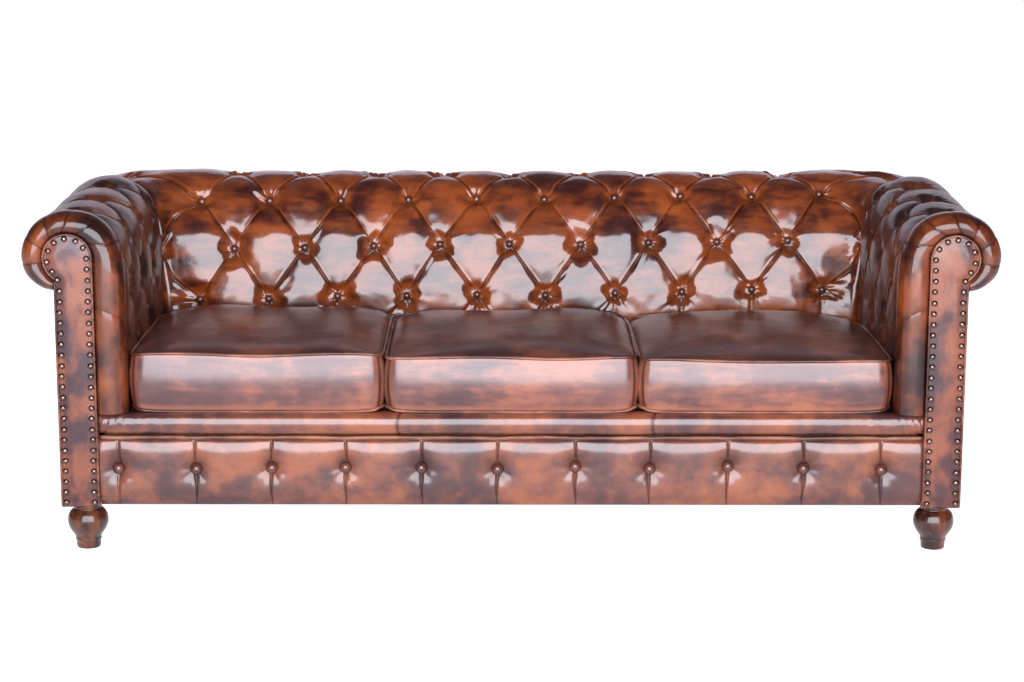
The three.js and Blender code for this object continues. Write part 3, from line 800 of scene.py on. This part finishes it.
def facing_span(z):
    """The facing's inner and outer edge at a height."""
    inner = FACING_IN
    if z > SCROLL.y:
        inner = SCROLL.x - sqrt(max(HEAD_RADIUS ** 2 - (z - SCROLL.y) ** 2, 0))
    line = facing_line(0.0)[2:]
    for here, there in zip(line[::-1], line[-2::-1]):
        lower, upper = sorted((here.y, there.y))
        if lower - 1e-9 <= z <= upper + 1e-9 and lower != upper:
            return inner, here.lerp(there, (z - here.y) / (there.y - here.y)).x
    return inner, SCROLL.x


def facing_spot(s, t):
    """Where s and t fall on the facing, with its two edges at that height."""
    z = facing_low.z + t * (facing_high.z - facing_low.z - FACING_TIP)
    inner, outer = facing_span(z)
    return inner + (outer - inner) * s, z, inner, outer


def facing_point(side):
    def place(s, t):
        x, z, inner, outer = facing_spot(s, t)
        rim = HEAD_RADIUS - hypot(x - SCROLL.x, z - SCROLL.y) if z > SCROLL.y else 1
        edge = min(x - inner, outer - x, z - facing_low.z, rim)
        crown = FACING_CROWN * smooth(edge / 0.030) + 0.0008 * rough_at((x, side, z), 16)
        return Vector((side * x, facing_low.y + 0.0035 - crown, z)), 0.0, 0.0
    return place


def facing_back(side):
    def place(s, t):
        x, z, inner, outer = facing_spot(s, t)
        return Vector((side * x, facing_high.y, z))
    return place


def bronzed_brass():
    brass = Finish("bronzed_stud", {"Metallic": 1.0})
    tarnish = brass.clouds(220, 4)
    colour = brass.blend(tarnish.ramp(0.4, 0.7), (0.105, 0.070, 0.060), (0.30, 0.21, 0.17))
    return brass.surface(colour, 0.14 + tarnish * 0.20, tarnish, 0.0002)


stud_brass = bronzed_brass()
STUD_RADIUS = 0.0066
STUD_PITCH = 0.0235
STUD_INSET = 0.0105
STUD_SHAKE = 0.0008
WELT_RADIUS = 0.0026


def add_stud(shape, centre, facing):
    """A domed nail head of a few dozen faces."""
    made = bmesh.ops.create_uvsphere(shape, u_segments=10, v_segments=6, radius=STUD_RADIUS)
    for vert in made["verts"]:
        vert.co.z *= 0.72 if vert.co.z > 0 else 0.25
    turn = Vector((0, 0, 1)).rotation_difference(facing).to_matrix().to_4x4()
    bmesh.ops.transform(shape, matrix=Matrix.Translation(centre) @ turn, verts=made["verts"])


def stud_piece(name, spots, facing):
    shape = bmesh.new()
    for centre in spots:
        add_stud(shape, centre, facing)
    covered(name, shape, stud_brass)


random.seed(11)
for side_name, side in (("left", -1), ("right", 1)):
    marked_panel(
        f"{side_name}_scroll_facing", 26, 150, facing_point(side), facing_back(side),
        [f"{side_name}_facing_panel"], facing_leather,
    )
    edge = even_line(facing_line(0.0015), 400)
    round_cord(
        f"{side_name}_facing_piping",
        lambda share, edge=edge, side=side: Vector(
            (side * at_share(edge, share).x, facing_low.y + 0.001, at_share(edge, share).y)
        ),
        WELT_RADIUS, 400, 8,
    )
    stud_line = facing_line(STUD_INSET)
    length = sum((b - a).length for a, b in zip(stud_line, stud_line[1:]))
    count = round(length / STUD_PITCH)
    spots = []
    for spot in even_line(stud_line, count):
        shake = Vector((random.uniform(-1, 1), random.uniform(-1, 1))) * STUD_SHAKE
        spots.append(Vector((side * (spot.x + shake.x), facing_low.y - 0.0006, spot.y + shake.y)))
    stud_piece(f"{side_name}_facing_studs", spots, Vector((0, -1, 0)))


# ---------------------------------------------------------------------------------------------
# The buttoned covers of the back and the two arms: leather over curled hair, pulled in by rows
# of buttons so that it pleats from button to button. They meet in a pleat in each corner.
#
# A cover is laid out flat first. u counts button columns along the U from arm to arm, with the
# corners at 5 and -5, and v counts button rows, up the inside, over the roll and down outside.
back_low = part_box("inside_back")[0]
arm_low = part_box("right_inside_arm")[0]
CORNER_U = 5.0
CORNER_SHARE = 0.30
CORNER_RADIUS = 0.020
COLUMN = 0.1653
ROW = 0.120
ARM_END_U = 8.5
BACK_LINE = back_low.y
arm_run = BACK_LINE - CORNER_RADIUS - arm_low.y - 0.003
ARM_COLUMN = arm_run / (ARM_END_U - CORNER_U - CORNER_SHARE)
V_LOW, V_HIGH = -1.55, 4.95
ARM_SECTION = [
    (-1.55, 0.000, 0.262), (0.0, 0.000, 0.462), (1.0, 0.000, 0.583), (1.55, 0.008, 0.652),
    (2.0, 0.026, 0.697), (2.5, 0.060, 0.729), (3.0, 0.108, 0.7430), (3.45, 0.162, 0.734),
    (3.9, 0.205, 0.700), (4.35, 0.221, 0.645), (4.75, 0.198, 0.592), (4.95, 0.150, 0.5725),
]
BACK_SECTION = [
    (-1.55, 0.000, 0.262), (0.0, 0.006, 0.462), (1.0, 0.028, 0.583), (1.5, 0.052, 0.640),
    (2.0, 0.090, 0.692), (2.5, 0.144, 0.7235), (3.0, 0.205, 0.7315), (3.45, 0.262, 0.723),
    (3.9, 0.308, 0.692), (4.35, 0.3265, 0.646), (4.75, 0.300, 0.590), (4.95, 0.252, 0.5725),
]
SECTION_STEPS = 600
GLANCE = 0.03
ROW_TILT = 0.12
SLIDE = 0.007
WANDER = 0.006
REAR_HUMP = 0.007
FRONT_DROP = 0.012


def section_table(points):
    line = spline(points, SECTION_STEPS * 4)
    table, spot = [], 0
    for step in range(SECTION_STEPS + 1):
        v = V_LOW + (V_HIGH - V_LOW) * step / SECTION_STEPS
        while spot < len(line) - 2 and line[spot + 1].x < v:
            spot += 1
        gap = max(line[spot + 1].x - line[spot].x, 1e-9)
        table.append(line[spot].lerp(line[spot + 1], min(max((v - line[spot].x) / gap, 0), 1)))
    return table


arm_table, back_table = section_table(ARM_SECTION), section_table(BACK_SECTION)


def section(v, back_share):
    """How far out and how high the stuffing's outside is at v, and its direction outwards."""
    def at(table, where):
        return at_share(table, (where - V_LOW) / (V_HIGH - V_LOW))
    here = at(arm_table, v).lerp(at(back_table, v), back_share)
    ahead = at(arm_table, v + GLANCE).lerp(at(back_table, v + GLANCE), back_share)
    behind = at(arm_table, v - GLANCE).lerp(at(back_table, v - GLANCE), back_share)
    run = Vector((ahead.y - behind.y, ahead.z - behind.z)).normalized()
    return here.y, here.z, Vector((-run.y, run.x))


def cover_point(u, v, rise):
    """The place of u, v at a height above the stuffing's outside, and the direction out."""
    side = -1 if u < 0 else 1
    a = abs(u)
    inner_x, inner_y = ARM_IN - CORNER_RADIUS, BACK_LINE - CORNER_RADIUS
    turn = min(max((a - CORNER_U + CORNER_SHARE) / (2 * CORNER_SHARE), 0), 1)
    out = Vector((side * sin(turn * pi / 2), cos(turn * pi / 2)))
    x, y = side * inner_x, inner_y
    if a < CORNER_U - CORNER_SHARE:
        last = CORNER_U - 0.5
        beyond = max(a - last, 0) / (CORNER_U - CORNER_SHARE - last)
        x = side * (min(a, last) * COLUMN + beyond * (inner_x - last * COLUMN))
    elif a > CORNER_U + CORNER_SHARE:
        y = inner_y - (a - CORNER_U - CORNER_SHARE) * ARM_COLUMN
    keep = 1 - smooth((v - 2) / 1.0)
    lift = ROW_TILT * max(min(u / CORNER_U, 1), -1) * keep * smooth((v + 1.5) / 1.0)
    away, height, facing = section(v + lift, smooth(1 - turn))
    reach = CORNER_RADIUS + away
    if 0 < turn < 1:
        arm_reach = CORNER_RADIUS + section(v + lift, 0)[0]
        back_reach = CORNER_RADIUS + section(v + lift, 1)[0]
        square = 2 + 3 * smooth((v - 1) / 2) + 18 * smooth((v - 3.6) / 1.2)
        across, along = sin(turn * pi / 2) / arm_reach, cos(turn * pi / 2) / back_reach
        reach = (across ** square + along ** square) ** (-1 / square)
    reach += facing.x * rise
    shake = Vector((u * COLUMN, v * ROW, 0.3))
    slide = Vector((out.y, -out.x)) * (SLIDE * noise.noise(shake * 5.0))
    spot = Vector((
        x + out.x * reach + slide.x, y + out.y * reach + slide.y, height + facing.y * rise,
    ))
    spot.z += WANDER * noise.noise(shake * 4.0 + Vector((9, 0, 0))) * keep
    top = smooth((v - 1) / 1.5) * (1 - smooth((v - 3.4) / 1.2))
    hump = REAR_HUMP * exp(-((a - CORNER_U - 0.3) / 0.8) ** 2)
    drop = FRONT_DROP * smooth((a - CORNER_U - 0.5) / (ARM_END_U - CORNER_U - 0.5))
    spot.z += top * (hump - drop)
    return spot, Vector((out.x * facing.x, out.y * facing.x, facing.y))


SWELL = 0.0085
PLEAT = 0.0060
PLEAT_SPACING = 0.136
LIP = 0.0014
LIP_PLACE = 0.0042
LIP_WIDTH = 0.0021
PIT = 0.0175
PIT_FLOOR = 0.0085
PIT_REACH = 0.042
CORNER_PLEAT = 0.020
CORNER_PLEAT_WIDTH = 0.08
CORNER_DARK_LINE_WIDTH = 0.035
PAD_DEPTH = 0.0465
WRINKLES = 7
WRINKLE_DEPTH = 0.0023


def hash_of(a, b):
    """A steady number from 0 to 1 for each button."""
    mixed = sin(a * 12.9898 + b * 78.233) * 43758.5453
    return mixed - floor(mixed)


def wrinkles_at(side_u, side_v, away, p, q):
    """Small folds that run out from a button, each with its own heading and length."""
    if away < 0.006 or away > 0.095:
        return 0.0
    height = 0.0
    for number in range(WRINKLES):
        luck = hash_of(p + number * 3.1, q - number * 1.7)
        other = hash_of(q * 2.3 + number, p * 1.9 - number * 5.3)
        upright = (p - q + 1) % 4 > 1.5
        heading = (pi / 2 if upright else 0.0) + (luck - 0.5) * 2.4
        if number % 2 and not upright:
            heading += pi
        ahead = side_u * cos(heading) + side_v * sin(heading)
        aside = -side_u * sin(heading) + side_v * cos(heading) + 0.10 * (other - 0.5) * ahead
        reach = 0.024 + 0.058 * other * luck
        if ahead < 0.004 or ahead > reach * 1.5:
            continue
        width = 0.0022 + 0.0012 * luck
        fade = smooth(ahead / 0.012) * (1 - smooth(ahead / reach - 0.5))
        crest = exp(-(aside / width) ** 2)
        trough = 0.5 * exp(-((aside - 2.0 * width) / width) ** 2)
        height += fade * (crest - trough)
    return height * WRINKLE_DEPTH


def relief(u, v):
    """How far the buttoned leather lies below the stuffing's outside, with its marks."""
    row = min(max(v, 0.0), 3.0)
    p, q = u + (row - 1) / 2, u - (row - 1) / 2
    near_p, near_q = round(p), round(q)
    step_p, step_q = p - near_p, q - near_q
    edge_p, edge_q = 1 - 2 * abs(step_p), 1 - 2 * abs(step_q)
    beyond = v - row
    side_u = (step_p + step_q) / 2 * COLUMN
    side_v = (step_p - step_q + beyond) * ROW
    away = hypot(side_u, side_v)
    tail = smooth(abs(beyond) / 0.8)
    button = hash_of(near_p, near_q)
    gap_p, gap_q = abs(step_p) * PLEAT_SPACING, abs(step_q) * PLEAT_SPACING
    deep = PLEAT * (1 - 0.45 * tail)
    depth = SWELL * (1 - (1 - edge_p ** 2.4) * (1 - edge_q ** 2.4)) * (1 - 0.5 * tail)
    fold_and_painted_shade = 0.0
    for gap, step, number in ((gap_p, step_p, near_p), (gap_q, step_q, near_q)):
        luck = hash_of(number * 1.3, floor((step_q if gap == gap_p else step_p) * 2 + u))
        sharp = 0.0017 + 0.0009 * luck
        line = exp(-(gap / sharp) ** 1.2) * (0.35 + 0.65 * luck)
        depth += deep * line
        fold_and_painted_shade = max(fold_and_painted_shade, line * (1 - 0.3 * tail))
    rubbed_and_painted_light = 0.0
    for gap, above in ((gap_p, step_p > 0), (gap_q, step_q < 0)):
        if above:
            lip = exp(-((gap - LIP_PLACE) / LIP_WIDTH) ** 2) * (1 - tail)
            depth -= LIP * lip
            rubbed_and_painted_light = max(rubbed_and_painted_light, lip)
    turn = atan2(side_v, side_u)
    lobes = 1 + 0.20 * sin(2 * turn + 40 * button) + 0.13 * sin(5 * turn + 90 * button)
    reach = PIT_REACH * (0.70 + 0.45 * button) * lobes
    hollow = 1 - smooth((away - PIT_FLOOR) / (reach - PIT_FLOOR))
    depth = depth * (1 - hollow ** 3) + PIT * (0.85 + 0.3 * button) * hollow + 0.003 * hollow ** 3
    depth -= wrinkles_at(side_u, side_v, away, near_p, near_q)
    corner = abs(abs(u) - CORNER_U)
    tucked = 1 - smooth((v - 3.2) / 1.1)
    depth += CORNER_PLEAT * exp(-(corner / CORNER_PLEAT_WIDTH) ** 1.1) * tucked
    # Darker along the corner pleat.
    fold_and_painted_shade = max(fold_and_painted_shade, exp(-(corner / CORNER_DARK_LINE_WIDTH) ** 2))
    fold_and_painted_shade *= 1 - hollow
    # Painted shade on the lower side of each button's hollow.
    if side_v < 0:
        fold_and_painted_shade = max(fold_and_painted_shade, 0.75 * exp(-((away - 0.012) / 0.016) ** 2) * smooth(-side_v / 0.012))
    return depth, fold_and_painted_shade, exp(-(away / 0.024) ** 2), rubbed_and_painted_light * (1 - hollow)


CELL_STEPS = 30
CROWDING = 0.125
EDGE_TUCK = 0.012
FRONT_TUCK = 0.014
COVER_STAND = 0.003
BROAD_LUMPS = 0.0026
FINE_LUMPS = 0.0009


def crowd(value):
    """Moves grid lines towards the pleats, which lie on whole numbers."""
    return value - CROWDING * sin(2 * pi * value)


def buttoned_cover(name, u_from, u_to, replaced, leather):
    """One closed pad whose grid runs along its pleats."""
    low_p = floor(min(u_from + (V_LOW - 1) / 2, u_from - (V_HIGH - 1) / 2)) - 1
    high_p = ceil(max(u_to + (V_HIGH - 1) / 2, u_to - (V_LOW - 1) / 2)) + 1
    cells = high_p - low_p
    shape = bmesh.new()
    bmesh.ops.create_grid(
        shape, x_segments=cells * CELL_STEPS, y_segments=cells * CELL_STEPS, size=cells / 2,
    )
    middle = (low_p + high_p) / 2
    for vert in shape.verts:
        p, q = crowd(vert.co.x + middle), crowd(vert.co.y + middle)
        vert.co = Vector(((p + q) / 2, p - q + 1, 0))
    trims = [
        ((u_from, 0, 0), (-1, 0, 0)), ((u_to, 0, 0), (1, 0, 0)),
        ((0, V_LOW, 0), (0, -1, 0)), ((0, V_HIGH, 0), (0, 1, 0)),
    ]
    for where, beyond in trims:
        bmesh.ops.bisect_plane(
            shape, geom=shape.verts[:] + shape.edges[:] + shape.faces[:], dist=0.0005,
            plane_co=where, plane_no=beyond, clear_outer=True,
        )
    rear = bmesh.ops.extrude_face_region(shape, geom=shape.faces[:])
    for part in rear["geom"]:
        if isinstance(part, bmesh.types.BMVert):
            part.co.z = -1
    fold_and_painted_shade, pit, rubbed_and_painted_light = (shape.verts.layers.float.new(mark) for mark in ("fold_and_painted_shade", "pit", "rubbed_and_painted_light"))
    for vert in shape.verts:
        u, v = vert.co.x, vert.co.y
        if vert.co.z < -0.5:
            vert.co = cover_point(u, v, -PAD_DEPTH)[0]
            continue
        depth, vert[fold_and_painted_shade], vert[pit], vert[rubbed_and_painted_light] = relief(u, v)
        rim = min(v - V_LOW, V_HIGH - v)
        front = max(ARM_END_U - abs(u), 0)
        depth += EDGE_TUCK * exp(-rim / 0.05) + FRONT_TUCK * exp(-(front / 0.07) ** 1.2)
        spot = cover_point(u, v, 0)[0]
        depth += BROAD_LUMPS * noise.noise(spot * 14) + FINE_LUMPS * noise.noise(spot * 42)
        vert.co = cover_point(u, v, COVER_STAND - depth)[0]
    piece = covered(name, shape, leather, [replaced])


tufted_leather = antiqued_leather(
    "buttoned_leather", DARK_STAIN, (0.080, 0.014, 0.005), (0.235, 0.052, 0.009),
    {"Coat Roughness": 0.13}, rub=(0.40, 0.58), streak=(2, 2, 9),
)
# A darker copy of the buttoned leather for the inside of the arms: painted shade.
arm_leather_painted_shade = antiqued_leather(
    "arm_leather_painted_shade", (0.008, 0.002, 0.002), (0.032, 0.007, 0.004), (0.110, 0.026, 0.007),
    {"Coat Weight": 0.5, "Coat Roughness": 0.2, "Specular IOR Level": 0.4}, streak=(9, 3, 3),
)
buttoned_cover("buttoned_back", -CORNER_U, CORNER_U, "inside_back", tufted_leather)
buttoned_cover("buttoned_left_arm", -ARM_END_U, -CORNER_U, "left_inside_arm", arm_leather_painted_shade)
buttoned_cover("buttoned_right_arm", CORNER_U, ARM_END_U, "right_inside_arm", arm_leather_painted_shade)


# ---------------------------------------------------------------------------------------------
# The buttons that pull the covers in: leather-covered domes, tied through the stuffing to the
# webbing behind, one at each crossing of the pleats.
BUTTON_RADIUS = 0.0098
BUTTON_HEIGHT = 0.0085
BACK_BUTTON_STAND = 0.0078
ARM_BUTTON_STAND = 0.0045
CORNER_BUTTON_STAND = 0.020
CREST_BUTTON_STAND = -0.003
END_GAP = 0.4


def button_stand(u, row):
    """How far a button's rim stands over the bottom of its hollow."""
    if row == 3:
        return CREST_BUTTON_STAND
    if abs(u) < CORNER_U - 0.1:
        return BACK_BUTTON_STAND
    return CORNER_BUTTON_STAND if abs(u) < CORNER_U + 0.1 else ARM_BUTTON_STAND


def cover_buttons(u_from, u_to):
    """The place and the facing of each button between two columns."""
    spots = []
    for row in range(4):
        shift = 0.0 if row % 2 else 0.5
        for number in range(-9, 9):
            u = number + shift
            if u_from - 0.01 <= u <= u_to + 0.01:
                spots.append(cover_point(u, row, button_stand(u, row) - relief(u, row)[0]))
    return spots


button_piece(
    "back_buttons", cover_buttons(-CORNER_U, CORNER_U), BUTTON_RADIUS, BUTTON_HEIGHT,
    button_leather,
)
arm_from, arm_to = CORNER_U + END_GAP, ARM_END_U - END_GAP
for side_name, start, end in (("left", -arm_to, -arm_from), ("right", arm_from, arm_to)):
    button_piece(
        f"{side_name}_arm_buttons", cover_buttons(start, end), BUTTON_RADIUS, BUTTON_HEIGHT,
        button_leather,
    )


# ---------------------------------------------------------------------------------------------
# The flat outside panels of the arms and the back: leather over a lining, stretched on the
# frame, with piping down their edges and a row of studs under the curl of the roll.
outside_leather = antiqued_leather(
    "outside_leather", DARK_STAIN, MAHOGANY, (0.150, 0.036, 0.010), streak=(2, 2, 7),
)
back_panel_low, back_panel_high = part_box("outside_back")
PANEL_SWELL = 0.004
PANEL_LUMPS = 0.0025
PANEL_RIM = 0.05


def outside_back_point(s, t):
    x = back_panel_high.x - s * 2 * back_panel_high.x
    z = back_panel_low.z + t * (back_panel_high.z - back_panel_low.z)
    edge = min(s, 1 - s) * 2 * back_panel_high.x
    rim = smooth(min(edge, z - back_panel_low.z, back_panel_high.z - z) / PANEL_RIM)
    y = back_panel_high.y + (PANEL_SWELL + PANEL_LUMPS * rough_at((x, 1, z), 3)) * rim
    return Vector((x, y, z)), 0.0, 0.0


def outside_back_back(s, t):
    x = back_panel_high.x - s * 2 * back_panel_high.x
    z = back_panel_low.z + t * (back_panel_high.z - back_panel_low.z)
    return Vector((x, back_panel_low.y, z))


marked_panel(
    "outside_back_panel", 120, 36, outside_back_point, outside_back_back, ["outside_back"],
    outside_leather,
)
side_low, side_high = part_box("right_outside_arm")


def outside_arm_point(side):
    def place(s, t):
        y = side_low.y + s * (side_high.y - side_low.y)
        z = side_low.z + t * (side_high.z - side_low.z)
        edge = min(y - side_low.y, side_high.y - y, z - side_low.z, side_high.z - z)
        swell = PANEL_SWELL + PANEL_LUMPS * rough_at((side, y, z), 3)
        x = side_high.x + swell * smooth(edge / PANEL_RIM)
        return Vector((side * x, y, z)), 0.0, 0.0
    return place


def outside_arm_back(side):
    def place(s, t):
        y = side_low.y + s * (side_high.y - side_low.y)
        z = side_low.z + t * (side_high.z - side_low.z)
        return Vector((side * side_low.x, y, z))
    return place


EDGE_PIPING_RADIUS = 0.003


def edge_piping(name, start, end):
    round_cord(name, lambda share: start.lerp(end, share), EDGE_PIPING_RADIUS, 60, 8)


STUD_DROP = 0.014
STUD_MARGIN = 0.015
BACK_STUD_MARGIN = 0.014
STUD_STAND = 0.0012
for side_name, side in (("left", -1), ("right", 1)):
    marked_panel(
        f"{side_name}_outside_panel", 60, 36, outside_arm_point(side), outside_arm_back(side),
        [f"{side_name}_outside_arm"], outside_leather,
    )
    corner = Vector((side * (back_panel_high.x + 0.001), back_panel_high.y + 0.001, 0))
    edge_piping(
        f"{side_name}_rear_corner_piping",
        corner + Vector((0, 0, back_panel_low.z)), corner + Vector((0, 0, back_panel_high.z)),
    )
    run = side_high.y - side_low.y - 2 * STUD_MARGIN
    count = round(run / STUD_PITCH)
    spots = []
    for number in range(count + 1):
        y = side_low.y + STUD_MARGIN + run * number / count
        spots.append(Vector((side * (side_high.x + STUD_STAND), y, side_high.z - STUD_DROP)))
    stud_piece(f"{side_name}_outside_studs", spots, Vector((side, 0, 0)))
count = round(2 * back_panel_high.x / STUD_PITCH)
spots = []
for number in range(count + 1):
    x = (number / count * 2 - 1) * (back_panel_high.x - BACK_STUD_MARGIN)
    spots.append(Vector((x, back_panel_high.y + STUD_STAND, back_panel_high.z - STUD_DROP)))
stud_piece("outside_back_studs", spots, Vector((0, 1, 0)))


# ---------------------------------------------------------------------------------------------
# The three seat cushions: boxed leather cases sewn with piping along their top and bottom
# edges, filled with foam and feather, so their tops are crowned and their sides bulge.
cushion_leather = antiqued_leather(
    "cushion_leather", (0.055, 0.019, 0.019), (0.130, 0.046, 0.037), (0.265, 0.083, 0.038),
    {"Coat Roughness": 0.25}, rub=(0.46, 0.64), streak=(2, 2, 9),
)
CUSHION_BULGE = 0.011
CUSHION_ROUND = 0.030
CUSHION_CUTS = 44
CUSHION_ROOM = 0.0035
CUSHION_LUMPS = 0.004
SEAM_HEIGHT = 0.4255
SEAM_SLOPE = -0.006 / 0.55
SEAM_STAND = 0.0022
CUSHION_PIPING_RADIUS = 0.0034
REAR_DROOP = 0.014
CORNER_DROOP = 0.003
CORNER_LIFT = 0.008


def rounded_plan(a, b, half_x, half_y, radius):
    """A point of a rectangle with round corners for a, b from -1 to 1."""
    reach = max(abs(a), abs(b))
    if reach < 1e-6:
        return 0.0, 0.0
    x, y = a / reach * half_x, b / reach * half_y
    over_x, over_y = abs(x) - half_x + radius, abs(y) - half_y + radius
    if over_x > 0 and over_y > 0:
        shrink = radius / max(hypot(over_x, over_y), 1e-9)
        if shrink < 1:
            x = (half_x - radius + over_x * shrink) * (1 if x > 0 else -1)
            y = (half_y - radius + over_y * shrink) * (1 if y > 0 else -1)
    return x * reach, y * reach


def seam_line(low, high, share, top):
    """The cushion's top or bottom edge, as a closed loop of share 0 to 1."""
    corners = [(-1, -1), (1, -1), (1, 1), (-1, 1), (-1, -1)]
    along = share % 1.0 * 4
    spot = int(along)
    a = corners[spot][0] + (corners[spot + 1][0] - corners[spot][0]) * (along - spot)
    b = corners[spot][1] + (corners[spot + 1][1] - corners[spot][1]) * (along - spot)
    out = Vector((a, b, 0.4 if top else -0.2)).normalized() * SEAM_STAND
    return cushion_skin(low, high, a, b, 1 if top else -1) + out


def cushion_skin(low, high, a, b, c):
    """A point of the cushion for a, b and c from -1 to 1, across, front to back and up."""
    middle = (low + high) / 2
    half_x, half_y = (high.x - low.x) / 2 - CUSHION_ROOM, (high.y - low.y) / 2 - CUSHION_ROOM
    x, y = rounded_plan(a, b, half_x, half_y, CUSHION_ROUND)
    corner = min(abs(a), abs(b))
    bulge = CUSHION_BULGE * (1 - c * c) * smooth((max(abs(a), abs(b)) - 0.80) / 0.2)
    bulge *= 1 - 0.6 * corner ** 6
    x, y = x * (1 + bulge / half_x), y * (1 + bulge / half_y)
    droop = REAR_DROOP * smooth((b - 0.45) / 0.55) * abs(a) ** 6 + CORNER_DROOP * abs(a) ** 12
    seam_top = SEAM_HEIGHT + SEAM_SLOPE * middle.x - droop
    bottom = low.z + 0.001
    dome = (1 - abs(a) ** 3.2) * (1 - abs(b) ** (3.0 if b < 0 else 4.5))
    crown = (high.z - SEAM_HEIGHT + 0.001) * dome ** 0.7
    height = bottom + (c + 1) / 2 * (seam_top - bottom)
    if c > 0:
        height += crown * c ** 3
    tuck = CORNER_LIFT * abs(a) ** 10 * (1 - c) / 2 if b < 0 else 0
    point = Vector((middle.x + x, middle.y + y, height + tuck))
    if c > -0.9:
        soft = CUSHION_LUMPS * noise.noise(point * 4.5 + Vector((3, 1, 7)))
        point.z += soft * (0.3 + 0.7 * smooth((c + 0.2) / 1.2)) * (c + 0.9)
    point.y += 0.0025 * noise.noise(point * 7) * (1 - c * c)
    return point


def seat_cushion(number):
    low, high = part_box(f"cushion_case_{number}")
    shape = bmesh.new()
    bmesh.ops.create_cube(shape, size=2)
    bmesh.ops.subdivide_edges(shape, edges=shape.edges[:], cuts=CUSHION_CUTS, use_grid_fill=True)
    fold_and_painted_shade, rubbed_and_painted_light = (shape.verts.layers.float.new(mark) for mark in ("fold_and_painted_shade", "rubbed_and_painted_light"))
    for vert in shape.verts:
        a, b, c = vert.co
        walls = sorted((abs(a), abs(b), abs(c)))
        seam = smooth((walls[1] - 0.965) / 0.035) * smooth((walls[2] - 0.99) / 0.01)
        # Darker along the seams; painted shade on the top.
        vert[fold_and_painted_shade] = max(seam, 0.5 * smooth((c - 0.97) / 0.03))
        # Painted light: the boxing is painted paler below its top seam, with rubbed wear along its
        # lower edge and upright corners.
        wall = smooth((max(abs(a), abs(b)) - 0.98) / 0.02)
        low_edge, upright = smooth((-0.70 - c) / 0.2), smooth((walls[1] - 0.90) / 0.09)
        vert[rubbed_and_painted_light] = wall * max(low_edge, upright * (abs(c) < 0.999), 0.8 * smooth((c - 0.8) / 0.15))
        vert.co = cushion_skin(low, high, a, b, c)
    piece = covered(
        f"seat_cushion_{number}", shape, cushion_leather,
        [f"cushion_case_{number}"],
    )
    for word, top in (("top", True), ("bottom", False)):
        round_cord(
            f"seat_cushion_{number}_{word}_piping",
            lambda share, top=top: seam_line(low, high, share, top),
            CUSHION_PIPING_RADIUS, 360, 8, closed=True,
        )


for number in (1, 2, 3):
    seat_cushion(number)
